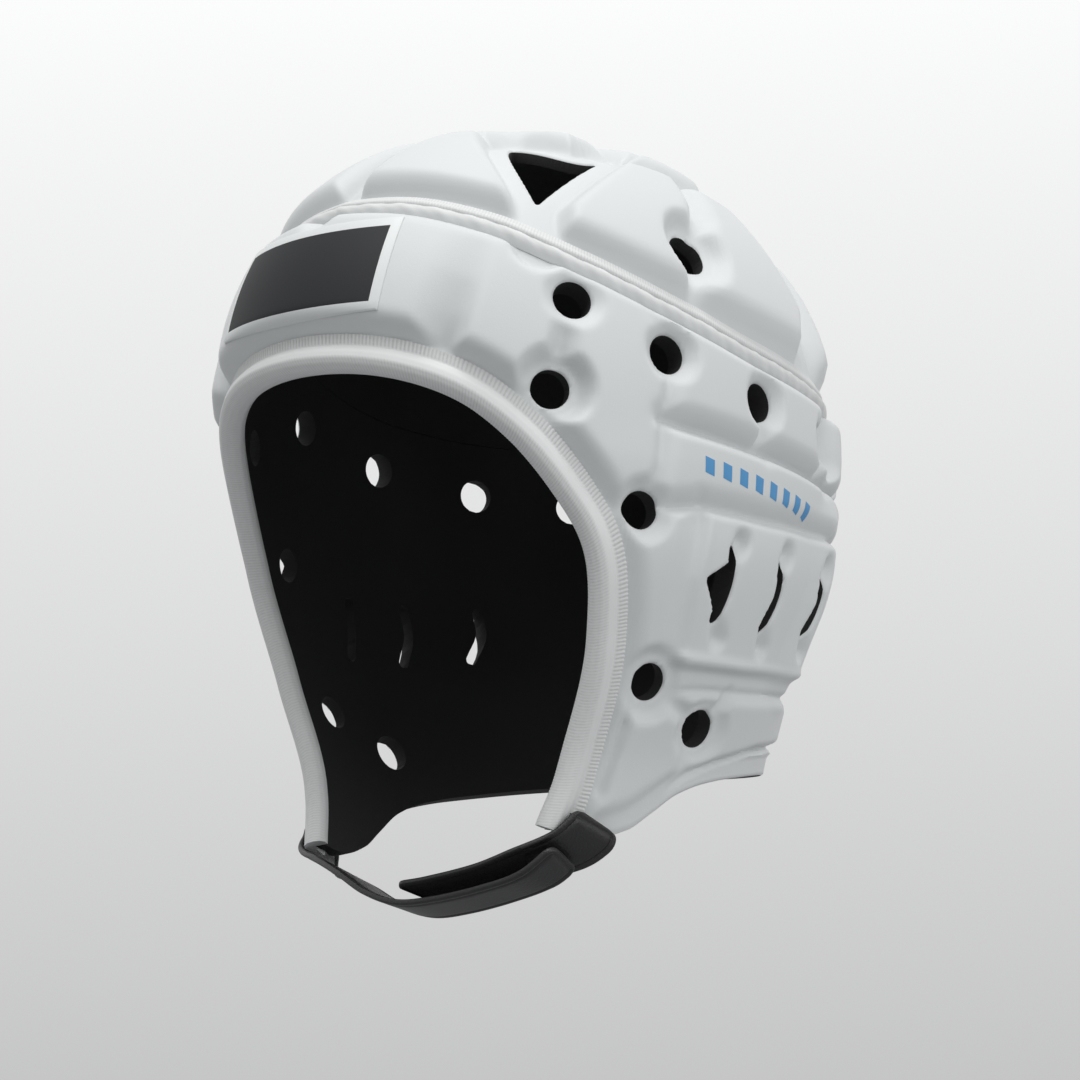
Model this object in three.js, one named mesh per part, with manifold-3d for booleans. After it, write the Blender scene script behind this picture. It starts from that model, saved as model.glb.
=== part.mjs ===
// Padded head guard in millimetres, +Z up, the face looks along -Y and the wearer's left is +X.
// The origin is where the top of the head meets the inside of the crown.
import * as THREE from "three";
import { mergeVertices } from "three/addons/utils/BufferGeometryUtils.js";
import Module from "manifold-3d";

const wasm = await Module();
wasm.setup();

// Head form inside the guard: half width, and depth to the front and the back, at each height.
const DOME_HEIGHT = 95;
const DOME_POWER = 2.25;
const HEAD_SECTIONS = [
  { z: -95, halfWidth: 81, front: 102, back: 107 },
  { z: -130, halfWidth: 81, front: 100, back: 100 },
  { z: -165, halfWidth: 73, front: 94, back: 84 },
  { z: -200, halfWidth: 60, front: 88, back: 80 },
  { z: -235, halfWidth: 54, front: 84, back: 75 },
];

// Foam: thickness at a flange or in a groove, and at the top of a pad by height.
const FOAM = { flange: 4, grooveHalf: 0.6, ramp: 9 };
const PAD_TOPS = [
  { z: -230, thickness: 7.6 },
  { z: -165, thickness: 8.2 },
  { z: -130, thickness: 9.2 },
  { z: -108, thickness: 11 },
  { z: 0, thickness: 11 },
];
const GAP = 0.35;

// Crown seam, as the angle from the front and the height.
const SEAM_LINE = [
  { at: 0, z: -30 },
  { at: 20, z: -32.5 },
  { at: 40, z: -39 },
  { at: 60, z: -51 },
  { at: 80, z: -63 },
  { at: 100, z: -71.5 },
  { at: 125, z: -75.5 },
  { at: 180, z: -77 },
];
const SEAM = { split: 1.2, flangeHalf: 5.5, beadWidth: 4.1, beadHeight: 3.2, stations: 51 };

// Foam edge round the face, from the middle of the brow down to the tip of a cheek flap.
const FACE_EDGE = [
  { at: 0, z: -79.5 },
  { at: 20, z: -82 },
  { at: 36, z: -90 },
  { at: 47, z: -103 },
  { at: 56, z: -121 },
  { at: 61.5, z: -138 },
  { at: 63.8, z: -160 },
  { at: 64, z: -184 },
  { at: 62, z: -205 },
  { at: 58, z: -220.5 },
];
const FACE_FLANGE = { half: 7.8, ramp: 8 };

// Lower edge, from the tip of a cheek flap round to the nape.
const LOWER_EDGE = [
  { at: 0, z: -220 },
  { at: 56, z: -220.5 },
  { at: 68, z: -222.5 },
  { at: 76, z: -221 },
  { at: 82, z: -217 },
  { at: 94, z: -210.5 },
  { at: 113, z: -203 },
  { at: 134, z: -198 },
  { at: 180, z: -195 },
];
// The lower flange is thin under the cheek and a fuller hem behind it, each with its depth below a pad.
const LOWER_FLANGE = { half: 8.5, ramp: 3.5, cheekTo: 83, cheekDepth: 1, hemDepth: 0.55 };

// Ventilation holes on the left side, mirrored to the right.
const HOLES = {
  temple_high: { at: 57, z: -63.5, diameter: 11.5 },
  temple_low: { at: 53, z: -91, diameter: 11.5 },
  side_high: { at: 75.4, z: -78, diameter: 11.5 },
  above_ear: { at: 96.8, z: -87, diameter: 11.5 },
  behind_ear: { at: 118, z: -93, diameter: 11.5 },
  back_side: { at: 139, z: -96, diameter: 11.5 },
  back_inner: { at: 160, z: -97, diameter: 11.5 },
  nape_middle: { at: 180, z: -97.5, diameter: 11.5 },
  cheek_high: { at: 68.5, z: -126, diameter: 11.5 },
  jaw_front: { at: 75, z: -175, diameter: 11 },
  jaw_back: { at: 90, z: -187, diameter: 11 },
  crown_side: { at: 86, z: -43, diameter: 12.5 },
};
// Dish round each hole: the flat at its rim, the width of its slope and its depth below a pad.
const HOLE_DISH = { flat: 0.6, ramp: 5, depth: 0.7 };

// Ear slots: top, middle and bottom of each, with the recess round it.
const EAR_SLOTS = {
  ear_front: { top: [89.2, -133], middle: [88.6, -145], bottom: [87, -156] },
  ear_middle: { top: [103.6, -133], middle: [105, -145], bottom: [102.4, -157] },
  ear_rear: { top: [119, -131], middle: [120.8, -142], bottom: [118.6, -153] },
};
const EAR_SLOT = { width: 3.8, recessHalf: 1.5, ramp: 5.2, depth: 0.5 };
// The left front slot is torn open at its front edge, to a point.
const TEAR = { top: [88.5, -138.5], point: [83.4, -143.4], bottom: [87, -154] };

// Vents in the crown, seen from above, as corners to the left of the middle line and the bow of the edges.
const VENTS = {
  front: { outer: [50.5, -50.5], inner: [18, -25], side: [33, -1], slit: [57, -58], bulge: 4.2, hub: 18 },
  back: { outer: [63, 58], inner: [24, 46], side: [46, 33], slit: [69, 63], bulge: 3.5, hub: 9 },
};
const VENT = { steps: 4, flangeHalf: 6, ramp: 6 };

// Grooves of the side panel's left half, with their depth below a pad.
// A bend is a hole's name, or an angle and a height.
const SIDE_GROOVES = {
  brow: { depth: 0.2, path: [[39.5, -40], [37.5, -64]] },
  brow_low: { depth: 0.8, path: [[37.5, -64], [34.6, -86]] },
  temple: { depth: 0.5, path: ["temple_high", "temple_low"] },
  temple_low: { depth: 1, path: ["temple_low", [44, -95]] },
  side_top: { depth: 0.2, path: [[69, -56], "side_high"] },
  side: { depth: 0.6, path: ["side_high", [72.5, -98.5], "cheek_high"] },
  cheek: { depth: 1, path: ["cheek_high", [60, -126]] },
  above_ear: { depth: 0.6, path: [[94, -68], "above_ear", [94, -103]] },
  behind_ear: { depth: 0.6, path: [[118, -75], "behind_ear", [118, -106.5]] },
  back_side: { depth: 0.6, path: [[139, -76], "back_side", [139, -108.5]] },
  back_inner: { depth: 0.6, path: [[160, -77], "back_inner", [160, -110]] },
  nape_middle: { depth: 0.6, path: [[180, -77], "nape_middle", [180, -111.5]] },
  bar_top: { depth: 1, path: [[72.5, -98.5], [80, -100], [94, -103], [118, -106.5], [180, -111.5]] },
  bar_low: { depth: 0.8, path: ["cheek_high", [81, -123.2], [97, -124.4], [125, -123.3], [180, -124]] },
  ear_front: { depth: 0.4, path: [[81, -123.3], [79, -143], [79.5, -164], "jaw_front"] },
  ear_back: { depth: 0.8, path: [[133, -122], [133, -168]] },
  back_bar: { depth: 0.9, path: [[133, -145], [180, -147]] },
  jaw_front: { depth: 1, path: [[66, -176], "jaw_front"] },
  jaw_between: { depth: 0.8, path: ["jaw_front", "jaw_back", [90.5, -203]] },
  jaw_back: { depth: 0.8, path: [[94, -174], "jaw_back"] },
  nape_side: { depth: 0.9, path: [[134, -168], [134, -190]] },
  nape: { depth: 0.9, path: [[180, -168], [180, -190]] },
};
const EAR_CHANNEL = { depth: 0.7, half: 3.2, path: [[78, -172], [97, -171.4], [134, -168.6], [180, -168]] };

// Grooves of the crown's left half, seen from above, each with half the width of its floor.
const CROWN_GROOVES = {
  front_middle: { half: 2, path: [[0, -84], [0, -37]] },
  front_cross: { half: 0.5, path: [[0, -37], [9, -33], [18, -25]] },
  hub_middle: { half: 0.5, path: [[0, 8], [30, 8]] },
  hub_back: { half: 0.5, path: [[0, 46], [24, 46]] },
  hub_side: { half: 0.5, path: [[33, -1], [35, 14], [46, 33]] },
  back_cross: { half: 0.5, path: [[0, 70], [38, 66]] },
  back_middle: { half: 1, path: [[0, 70], [0, 100]] },
  side_low: { half: 0.5, path: [[76.5, -13], [71, -6], [63, 5], [50, 10]] },
  side_row: { half: 0.5, path: [[42, -18], [46, -10], [49, 4], [51, 20], [51, 36]] },
};
const CROWN_GROOVE_DEPTH = 0.9;

// Face binding section: reach over the foam, past its edge, and the bead's height above and below.
const BINDING = { lip: 7.5, lipThickness: 1.2, past: 4, above: 3, below: 1, stations: 42 };

// Forehead patch: half its angle and the height at its top and bottom, and its grid.
const PATCH = {
  topHalf: 23.6, top: -41.6,
  bottomHalf: 21.6, bottom: -69.4,
  thickness: 0.9, across: 12, down: 4,
};

// Chin strap from its free end round to the right flap, and the tab on the left flap that it closes on.
const STRAP_LINE = [
  { x: 57.4, y: -46.8, z: -229.4 },
  { x: 49.5, y: -51.5, z: -236 },
  { x: 36.5, y: -54.5, z: -239.8 },
  { x: 20, y: -57, z: -242.6 },
  { x: 5, y: -57.8, z: -243.2 },
  { x: -10, y: -56.5, z: -239.6 },
  { x: -26, y: -52.5, z: -233.4 },
  { x: -42, y: -46.3, z: -228.6 },
  { x: -58.2, y: -37.4, z: -224.6 },
  { x: -62.5, y: -32.4, z: -216.6 },
];
const TAB_LINE = [
  { x: 59.7, y: -35.7, z: -218.4 },
  { x: 58.9, y: -37.8, z: -222.4 },
  { x: 54, y: -42.4, z: -227 },
  { x: 45, y: -48.4, z: -230.8 },
  { x: 34, y: -53.4, z: -234.4 },
  { x: 18, y: -57.2, z: -237 },
  { x: 5, y: -58.8, z: -238 },
];
// Lean of each band's front edge to the left and upwards, by the place across the head.
const STRAP_LEAN = [
  { x: -58, left: 0.17, up: 0.3 },
  { x: 0, left: 0, up: 0.2 },
  { x: 54, left: 0.1, up: 0.1 },
];
const TAB_LEAN = [
  { x: 5, left: 0, up: 0.2 },
  { x: 57, left: -0.2, up: 0.28 },
];
const STRAP = { width: 19, thickness: 2, endRadius: 6, stations: 30, columns: 2 };
const TAB = { width: 19, thickness: 1.9, endRadius: 4, stations: 20, columns: 2 };

// Grids of the panels.
const SIDE_GRID = { around: 84, outer: 22, inner: 6 };
const CROWN_GRID = { around: 56, outer: 10, inner: 4 };

const radians = THREE.MathUtils.degToRad;

// Smooth table look-up without overshoot between rows.
function table(rows, key, value) {
  const xs = rows.map((row) => row[key]);
  const ys = rows.map((row) => row[value]);
  const rising = xs[1] > xs[0] ? 1 : -1;
  const slopes = xs.slice(1).map((x, i) => (ys[i + 1] - ys[i]) / (x - xs[i]));
  const tangents = xs.map((x, i) => {
    const before = slopes[i - 1] ?? slopes[i];
    const after = slopes[i] ?? before;
    return before * after > 0 ? (2 * before * after) / (before + after) : 0;
  });
  return (x) => {
    let i = 0;
    while (i < xs.length - 2 && (x - xs[i + 1]) * rising > 0) i += 1;
    const span = xs[i + 1] - xs[i];
    const u = THREE.MathUtils.clamp((x - xs[i]) / span, 0, 1);
    const bend = u * (1 - u) * span;
    const straight = ys[i] + (ys[i + 1] - ys[i]) * u * u * (3 - 2 * u);
    return straight + bend * ((1 - u) * tangents[i] - u * tangents[i + 1]);
  };
}

const sectionHalf = table(HEAD_SECTIONS, "z", "halfWidth");
const sectionFront = table(HEAD_SECTIONS, "z", "front");
const sectionBack = table(HEAD_SECTIONS, "z", "back");
const seamAt = table(SEAM_LINE, "at", "z");
const lowerAt = table(LOWER_EDGE, "at", "z");
const padTop = table(PAD_TOPS, "z", "thickness");
const fromFront = (at) => Math.abs(THREE.MathUtils.euclideanModulo(at + 180, 360) - 180);
const seamHeight = (at) => seamAt(fromFront(at));
const lowerHeight = (at) => lowerAt(fromFront(at));

// Point of the head form at an angle from the front, in degrees, and a height.
function formPoint(at, z) {
  const up = Math.max(0, (z + DOME_HEIGHT) / DOME_HEIGHT);
  const shrink = Math.pow(Math.max(0, 1 - Math.pow(up, DOME_POWER)), 1 / DOME_POWER);
  const level = Math.min(z, -DOME_HEIGHT);
  const forward = Math.cos(radians(at));
  const depth = forward > 0 ? sectionFront(level) : sectionBack(level);
  const x = sectionHalf(level) * shrink * Math.sin(radians(at));
  return new THREE.Vector3(x, -depth * shrink * forward, z);
}

// Outward normal of the head form at one of its points.
function formNormal(point) {
  const level = Math.min(point.z, -DOME_HEIGHT);
  const depthAt = point.y < 0 ? sectionFront : sectionBack;
  const half = sectionHalf(level);
  const depth = depthAt(level);
  const normal = new THREE.Vector3(point.x / half ** 2, point.y / depth ** 2, 0);
  const reach = Math.hypot(point.x / half, point.y / depth);
  if (point.z > -DOME_HEIGHT) {
    const up = (point.z + DOME_HEIGHT) / DOME_HEIGHT;
    normal.multiplyScalar(Math.pow(reach, DOME_POWER - 2));
    normal.z = Math.pow(up, DOME_POWER - 1) / DOME_HEIGHT;
  } else {
    const halfSlope = sectionHalf(level + 1) - sectionHalf(level - 1);
    const depthSlope = depthAt(level + 1) - depthAt(level - 1);
    const sideways = (point.x / half) ** 2 * (halfSlope / half);
    const lengthways = (point.y / depth) ** 2 * (depthSlope / depth);
    normal.z = -(sideways + lengthways) / 2;
  }
  return normal.normalize();
}

// Point of the dome above a point seen from above.
function domePoint(x, y) {
  const section = HEAD_SECTIONS[0];
  const reach = Math.hypot(x / section.halfWidth, y / (y < 0 ? section.front : section.back));
  const up = Math.pow(Math.max(0, 1 - Math.pow(reach, DOME_POWER)), 1 / DOME_POWER);
  return new THREE.Vector3(x, y, DOME_HEIGHT * (up - 1));
}

// Frame of the head form: along the path, away from the foam and outward.
function edgeFrame(point, ahead) {
  const out = formNormal(point);
  const along = ahead.clone().addScaledVector(out, -ahead.dot(out)).normalize();
  const side = new THREE.Vector3().crossVectors(out, along);
  return { point, along, side, out };
}

function smoothCurve(points) {
  return new THREE.CatmullRomCurve3(points, false, "centripetal");
}

const faceCurve = new THREE.SplineCurve(
  [...FACE_EDGE.slice(1).reverse().map((row) => new THREE.Vector2(row.at, row.z)),
    ...FACE_EDGE.map((row) => new THREE.Vector2(-row.at, row.z))],
);
const seamPoints = Array.from({ length: 37 }, (_, i) => formPoint(i * 5, seamHeight(i * 5)));
const facePoints = faceCurve.getPoints(60).map((row) => formPoint(row.x, row.y));
const lowerPoints = (from, to) => Array.from({ length: 21 }, (_, i) => {
  const at = from + (to - from) * i / 20;
  return formPoint(at, lowerHeight(at));
});
const bend = (step) => (typeof step === "string" ? [HOLES[step].at, HOLES[step].z] : step);

// Rows with more even steps between them, so that a line keeps to the head form.
const BETWEEN = 6;
function dense(rows) {
  const last = rows.length - 1;
  return Array.from({ length: last * BETWEEN + 1 }, (_, i) => {
    const first = Math.min(Math.floor(i / BETWEEN), last - 1);
    const share = i / BETWEEN - first;
    return rows[first].map((value, k) => value + (rows[first + 1][k] - value) * share);
  });
}
const onForm = (path) => dense(path.map(bend)).map(([at, z]) => formPoint(at, z));
const onDome = (path) => dense(path).map(([x, y]) => domePoint(x, y));

// Outline of a vent seen from above: its two long edges bulge out and its hub edge bulges in.
function ventOutline(vent) {
  const [outer, inner, side] = [vent.outer, vent.inner, vent.side].map(([x, y]) => new THREE.Vector2(x, y));
  const middle = outer.clone().add(inner).add(side).divideScalar(3);
  const bowed = (start, end, bulge) => {
    const along = end.clone().sub(start).normalize();
    const out = new THREE.Vector2(along.y, -along.x);
    if (out.dot(start.clone().sub(middle)) < 0) out.negate();
    return Array.from({ length: VENT.steps }, (_, i) => {
      const share = i / VENT.steps;
      return start.clone().lerp(end, share).addScaledVector(out, bulge * 4 * share * (1 - share));
    });
  };
  return [
    ...bowed(outer, inner, vent.bulge),
    ...bowed(inner, side, -vent.hub),
    ...bowed(side, outer, vent.bulge),
  ];
}

// Every line or point where the foam is thin: its points, the half width of its floor, the width of the
// pad's rise beside it and its depth below the pad.
const THIN = [
  { points: seamPoints, half: SEAM.flangeHalf, ramp: FOAM.ramp, depth: 1 },
  { points: facePoints, half: FACE_FLANGE.half, ramp: FACE_FLANGE.ramp, depth: 1 },
  {
    points: lowerPoints(60, LOWER_FLANGE.cheekTo),
    half: LOWER_FLANGE.half, ramp: LOWER_FLANGE.ramp, depth: LOWER_FLANGE.cheekDepth,
  },
  {
    points: lowerPoints(LOWER_FLANGE.cheekTo, 180),
    half: LOWER_FLANGE.half, ramp: LOWER_FLANGE.ramp, depth: LOWER_FLANGE.hemDepth,
  },
  { points: onForm(EAR_CHANNEL.path), half: EAR_CHANNEL.half, ramp: FOAM.ramp, depth: EAR_CHANNEL.depth },
];
for (const { path, depth } of Object.values(SIDE_GROOVES))
  THIN.push({ points: onForm(path), half: FOAM.grooveHalf, ramp: FOAM.ramp, depth });
for (const { path, half } of Object.values(CROWN_GROOVES))
  THIN.push({ points: onDome(path), half, ramp: FOAM.ramp, depth: CROWN_GROOVE_DEPTH });
for (const hole of Object.values(HOLES)) {
  const half = hole.diameter / 2 + HOLE_DISH.flat;
  THIN.push({ points: [formPoint(hole.at, hole.z)], half, ramp: HOLE_DISH.ramp, depth: HOLE_DISH.depth });
}
for (const slot of Object.values(EAR_SLOTS)) {
  const points = onForm([slot.top, slot.middle, slot.bottom]);
  THIN.push({ points, half: EAR_SLOT.recessHalf, ramp: EAR_SLOT.ramp, depth: EAR_SLOT.depth });
}
for (const vent of Object.values(VENTS)) {
  const outline = ventOutline(vent).map((corner) => domePoint(corner.x, corner.y));
  THIN.push({ points: [...outline, outline[0]], half: VENT.flangeHalf, ramp: VENT.ramp, depth: 1 });
  THIN.push({ points: onDome([vent.outer, vent.slit]), half: FOAM.grooveHalf, ramp: FOAM.ramp, depth: 1 });
}

function distanceTo(points, place) {
  if (points.length === 1) return place.distanceTo(points[0]);
  const line = new THREE.Line3();
  const near = new THREE.Vector3();
  let least = Infinity;
  for (let i = 1; i < points.length; i += 1) {
    line.set(points[i - 1], points[i]).closestPointToPoint(place, true, near);
    least = Math.min(least, near.distanceTo(place));
  }
  return least;
}

// Share of a pad's full height: none in a groove, all in the middle of a pad.
function padShare(place) {
  const other = new THREE.Vector3(-place.x, place.y, place.z);
  let share = 1;
  for (const thin of THIN)
    for (const side of [place, other]) {
      const away = (distanceTo(thin.points, side) - thin.half) / thin.ramp;
      const rise = THREE.MathUtils.clamp(away, 0, 1);
      share *= 1 - thin.depth * (1 - rise) ** 2;
    }
  return share;
}

const foamThickness = (place) => FOAM.flange + (padTop(place.z) - FOAM.flange) * padShare(place);
const raise = (place, height) => place.clone().addScaledVector(formNormal(place), height);

// Moves the vertices of a grid and returns it as one closed solid that faces out.
function solid(geometry, place) {
  const position = geometry.attributes.position;
  const uv = geometry.attributes.uv;
  const moved = new Float32Array(position.count * 3);
  for (let i = 0; i < position.count; i += 1) {
    const at = new THREE.Vector3().fromBufferAttribute(position, i);
    const spot = place(at, uv.getX(i), uv.getY(i));
    spot.toArray(moved, i * 3);
  }
  const shell = new THREE.BufferGeometry();
  shell.setAttribute("position", new THREE.BufferAttribute(moved, 3));
  if (geometry.index) shell.setIndex(geometry.index.clone());
  return closed(shell);
}

function closed(geometry) {
  const bare = geometry.clone();
  for (const name of Object.keys(bare.attributes)) if (name !== "position") bare.deleteAttribute(name);
  const merged = mergeVertices(bare, 1e-3);
  const corners = merged.index.array;
  const kept = [];
  for (let i = 0; i < corners.length; i += 3) {
    const [a, b, c] = [corners[i], corners[i + 1], corners[i + 2]];
    if (a !== b && b !== c && c !== a) kept.push(a, b, c);
  }
  const build = (list) => new wasm.Manifold(new wasm.Mesh({
    numProp: 3,
    vertProperties: merged.attributes.position.array,
    triVerts: new Uint32Array(list),
  }));
  const first = build(kept);
  if (first.volume() > 0) return first;
  const turned = [];
  for (let i = 0; i < kept.length; i += 3) turned.push(kept[i], kept[i + 2], kept[i + 1]);
  return build(turned);
}

const CUT_TOLERANCE = 0.15;
function without(body, cutters) {
  const cut = cutters.reduce((rest, cutter) => rest.subtract(cutter), body);
  return cut.asOriginal().simplify(CUT_TOLERANCE);
}

// Ring round the head from a section with numbered corners.
function ring(around, corners, place) {
  const grid = new THREE.TorusGeometry(2, 1, corners, around);
  return solid(grid, (_, u, v) => place(u * 360 - 180, Math.round(v * corners) % corners));
}

// Side panel before its edges are cut.
const floorHeight = Math.min(...LOWER_EDGE.map((row) => row.z)) - 4;
function sidePanelPlace(at, corner) {
  const { outer, inner } = SIDE_GRID;
  const onOuter = corner <= outer;
  const down = onOuter ? corner / outer : 1 - (corner - outer - 1) / inner;
  const top = seamHeight(at) - SEAM.split / 2;
  const place = formPoint(at, top + (floorHeight - top) * down);
  return onOuter ? raise(place, foamThickness(place)) : place;
}

// Cutters square to the head form: one follows the face edge, one the lower edge.
const CUTTER = { inside: -22, outside: 30, columns: 16, rows: 28 };
function faceCutterPlace(spot) {
  const down = Math.round((0.5 - spot.y) * CUTTER.rows) / (CUTTER.rows - 1);
  const edge = faceCurve.getPoint(0.5 + 0.5 * THREE.MathUtils.clamp(down, 0.012, 1));
  const place = formPoint(edge.x * spot.x * -2, edge.y);
  const spread = raise(place, spot.z > 0 ? CUTTER.outside : CUTTER.inside);
  if (down > 1) spread.z = floorHeight - 30;
  return spread;
}

function lowerCutterPlace(at, corner) {
  const far = corner === 1 || corner === 2;
  const place = raise(formPoint(at, lowerHeight(at)), far ? CUTTER.outside : CUTTER.inside);
  if (corner > 1) place.z = floorHeight - 20;
  return place;
}

const PUNCH = { length: 40, sides: 10 };
function holePunch(hole, mirror) {
  const place = formPoint(hole.at * mirror, hole.z);
  const out = formNormal(place);
  const turn = new THREE.Quaternion().setFromUnitVectors(new THREE.Vector3(0, 1, 0), out);
  const rod = new THREE.CylinderGeometry(hole.diameter / 2, hole.diameter / 2, PUNCH.length, PUNCH.sides);
  rod.applyQuaternion(turn);
  rod.translate(place.x, place.y, place.z);
  return closed(rod);
}

function slotPunch(slot, mirror) {
  const line = new THREE.QuadraticBezierCurve(
    new THREE.Vector2(...slot.top),
    new THREE.Vector2(
      2 * slot.middle[0] - (slot.top[0] + slot.bottom[0]) / 2,
      2 * slot.middle[1] - (slot.top[1] + slot.bottom[1]) / 2,
    ),
    new THREE.Vector2(...slot.bottom),
  );
  const grid = new THREE.BoxGeometry(1, 1, 1, 1, 6, 1);
  return solid(grid, (spot) => {
    const row = line.getPoint(spot.y + 0.5);
    const next = line.getPoint(spot.y + 0.51);
    const place = formPoint(row.x * mirror, row.y);
    const ahead = formPoint(next.x * mirror, next.y).sub(place);
    const frame = edgeFrame(place, ahead);
    const narrow = Math.sqrt(Math.max(0, 1 - (2 * spot.y) ** 6));
    const wide = EAR_SLOT.width * Math.max(narrow, 0.35);
    return place.addScaledVector(frame.side, spot.x * wide).addScaledVector(frame.out, spot.z * PUNCH.length);
  });
}

// Wedge through the left side where the front slot is torn.
function tearPunch() {
  const corners = [TEAR.top, TEAR.point, TEAR.bottom].map(([at, z]) => formPoint(at, z));
  const outline = new THREE.Shape(corners.map((corner) => new THREE.Vector2(corner.y, corner.z)));
  const wedge = new THREE.ExtrudeGeometry(outline, { depth: PUNCH.length, bevelEnabled: false });
  const [x, y, z] = [[1, 0, 0], [0, 1, 0], [0, 0, 1]].map((axis) => new THREE.Vector3(...axis));
  wedge.applyMatrix4(new THREE.Matrix4().makeBasis(y, z, x));
  wedge.translate(corners[0].x - PUNCH.length / 2, 0, 0);
  return closed(wedge);
}

// Sweeps a section of points, across and out, along the face edge.
function alongFaceEdge(section) {
  const outline = new THREE.Shape(section.map((corner) => new THREE.Vector2(corner.across, corner.out)));
  const bar = new THREE.ExtrudeGeometry(outline, { depth: 1, steps: BINDING.stations, bevelEnabled: false });
  return solid(bar, (spot) => {
    const row = faceCurve.getPoint(spot.z);
    const before = faceCurve.getPoint(Math.max(0, spot.z - 0.004));
    const after = faceCurve.getPoint(Math.min(1, spot.z + 0.004));
    const ahead = formPoint(after.x, after.y).sub(formPoint(before.x, before.y));
    const frame = edgeFrame(formPoint(row.x, row.y), ahead);
    return frame.point.addScaledVector(frame.side, spot.x).addScaledVector(frame.out, spot.y);
  });
}

// Sweeps a section of points, across and out, along the crown seam.
function alongSeam(section) {
  return ring(SEAM.stations, section.length, (at, corner) => {
    const place = formPoint(at, seamHeight(at));
    const behind = formPoint(at - 0.5, seamHeight(at - 0.5));
    const ahead = formPoint(at + 0.5, seamHeight(at + 0.5)).sub(behind);
    const frame = edgeFrame(place, ahead);
    const { across, out } = section[corner];
    return place.addScaledVector(frame.side, across).addScaledVector(frame.out, out);
  });
}

// Seats that keep the flanges flat under the bindings.
const SEAT = { deep: -4, high: 17 };
const faceSeat = alongFaceEdge([
  { across: -BINDING.lip - GAP, out: FOAM.flange },
  { across: 0, out: FOAM.flange },
  { across: 0, out: SEAT.deep },
  { across: BINDING.past + 2, out: SEAT.deep },
  { across: BINDING.past + 2, out: SEAT.high },
  { across: -BINDING.lip - GAP, out: SEAT.high },
]);
const seamSeat = alongSeam([
  { across: -SEAM.beadWidth - 2 * GAP, out: FOAM.flange },
  { across: SEAM.beadWidth + 2 * GAP, out: FOAM.flange },
  { across: SEAM.beadWidth + 2 * GAP, out: SEAT.high },
  { across: -SEAM.beadWidth - 2 * GAP, out: SEAT.high },
]);

// Block over the brow pad from one height above its surface to another, grown at its edges.
function browBlock(from, to, grow) {
  const grid = new THREE.BoxGeometry(1, 1, 1, PATCH.across, PATCH.down, 1);
  return solid(grid, (spot) => {
    const down = 0.5 - spot.y;
    const half = PATCH.topHalf + (PATCH.bottomHalf - PATCH.topHalf) * down;
    const z = PATCH.top + (PATCH.bottom - PATCH.top) * down + 2 * grow * spot.y;
    const place = formPoint(2 * spot.x * (half + grow), z);
    return raise(place, foamThickness(place) + (spot.z > 0 ? to : from));
  });
}
const browSeat = browBlock(0, SEAT.high, 2 * GAP);
const foreheadPatch = browBlock(GAP, GAP + PATCH.thickness, 0);

const bothSides = (rows, punch) =>
  Object.values(rows).flatMap((row) => [1, -1].map((mirror) => punch(row, mirror)));
const sideHoles = Object.entries(HOLES).filter(([name]) => name !== "crown_side").map(([, hole]) => hole);
const sideCorners = SIDE_GRID.outer + SIDE_GRID.inner + 2;

const sidePanel = without(ring(SIDE_GRID.around, sideCorners, sidePanelPlace), [
  solid(new THREE.BoxGeometry(1, 1, 1, CUTTER.columns, CUTTER.rows, 1), faceCutterPlace),
  ring(60, 4, lowerCutterPlace),
  faceSeat,
  seamSeat,
  browSeat,
  ...bothSides(sideHoles, holePunch),
  ...bothSides(EAR_SLOTS, slotPunch),
  tearPunch(),
]);

// Crown, from its outer top down to the seam and back along the inside.
function crownPlace(at, row) {
  const { outer, inner } = CROWN_GRID;
  const onOuter = row <= outer;
  const down = onOuter ? row / outer : (outer + inner + 1 - row) / inner;
  const rim = formPoint(at, seamHeight(at) + SEAM.split / 2);
  const place = domePoint(rim.x * down, rim.y * down);
  return onOuter ? raise(place, foamThickness(place)) : place;
}

function ventPunch(vent, mirror) {
  const corners = ventOutline(vent).map(({ x, y }) => new THREE.Vector2(x * mirror, y));
  const outline = new THREE.Shape(corners);
  const prism = new THREE.ExtrudeGeometry(outline, { depth: 90, bevelEnabled: false });
  prism.translate(0, 0, -60);
  return closed(prism);
}

const crownRows = CROWN_GRID.outer + CROWN_GRID.inner + 1;
const crownPanel = without(
  solid(
    new THREE.SphereGeometry(1, CROWN_GRID.around, crownRows),
    (_, u, v) => crownPlace(u * 360 - 180, Math.round((1 - v) * crownRows)),
  ),
  [seamSeat, ...bothSides([HOLES.crown_side], holePunch), ...bothSides(VENTS, ventPunch)],
);

// The two bound edges of the crown seam, as rounded beads on the flanges.
function seamBead(sign) {
  const middle = sign * (SEAM.beadWidth + GAP) / 2;
  const low = FOAM.flange + GAP;
  const half = SEAM.beadWidth / 2;
  return alongSeam([
    { across: middle - half, out: low },
    { across: middle - half * 0.7, out: low + SEAM.beadHeight * 0.8 },
    { across: middle, out: low + SEAM.beadHeight },
    { across: middle + half * 0.7, out: low + SEAM.beadHeight * 0.8 },
    { across: middle + half, out: low },
  ]);
}

// Face binding: a lip on the outer face of the foam and a bead rolled over its edge.
function faceBinding() {
  const low = FOAM.flange + GAP;
  const { lip, lipThickness, past, above, below } = BINDING;
  return alongFaceEdge([
    { across: -lip, out: low },
    { across: GAP, out: low },
    { across: GAP, out: -below },
    { across: past * 0.6, out: -below },
    { across: past, out: 0.8 },
    { across: past, out: low + above * 0.2 },
    { across: past * 0.45, out: low + above },
    { across: -1.6, out: low + above },
    { across: -4, out: low + lipThickness },
    { across: -lip, out: low + lipThickness * 0.6 },
  ]);
}

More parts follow.
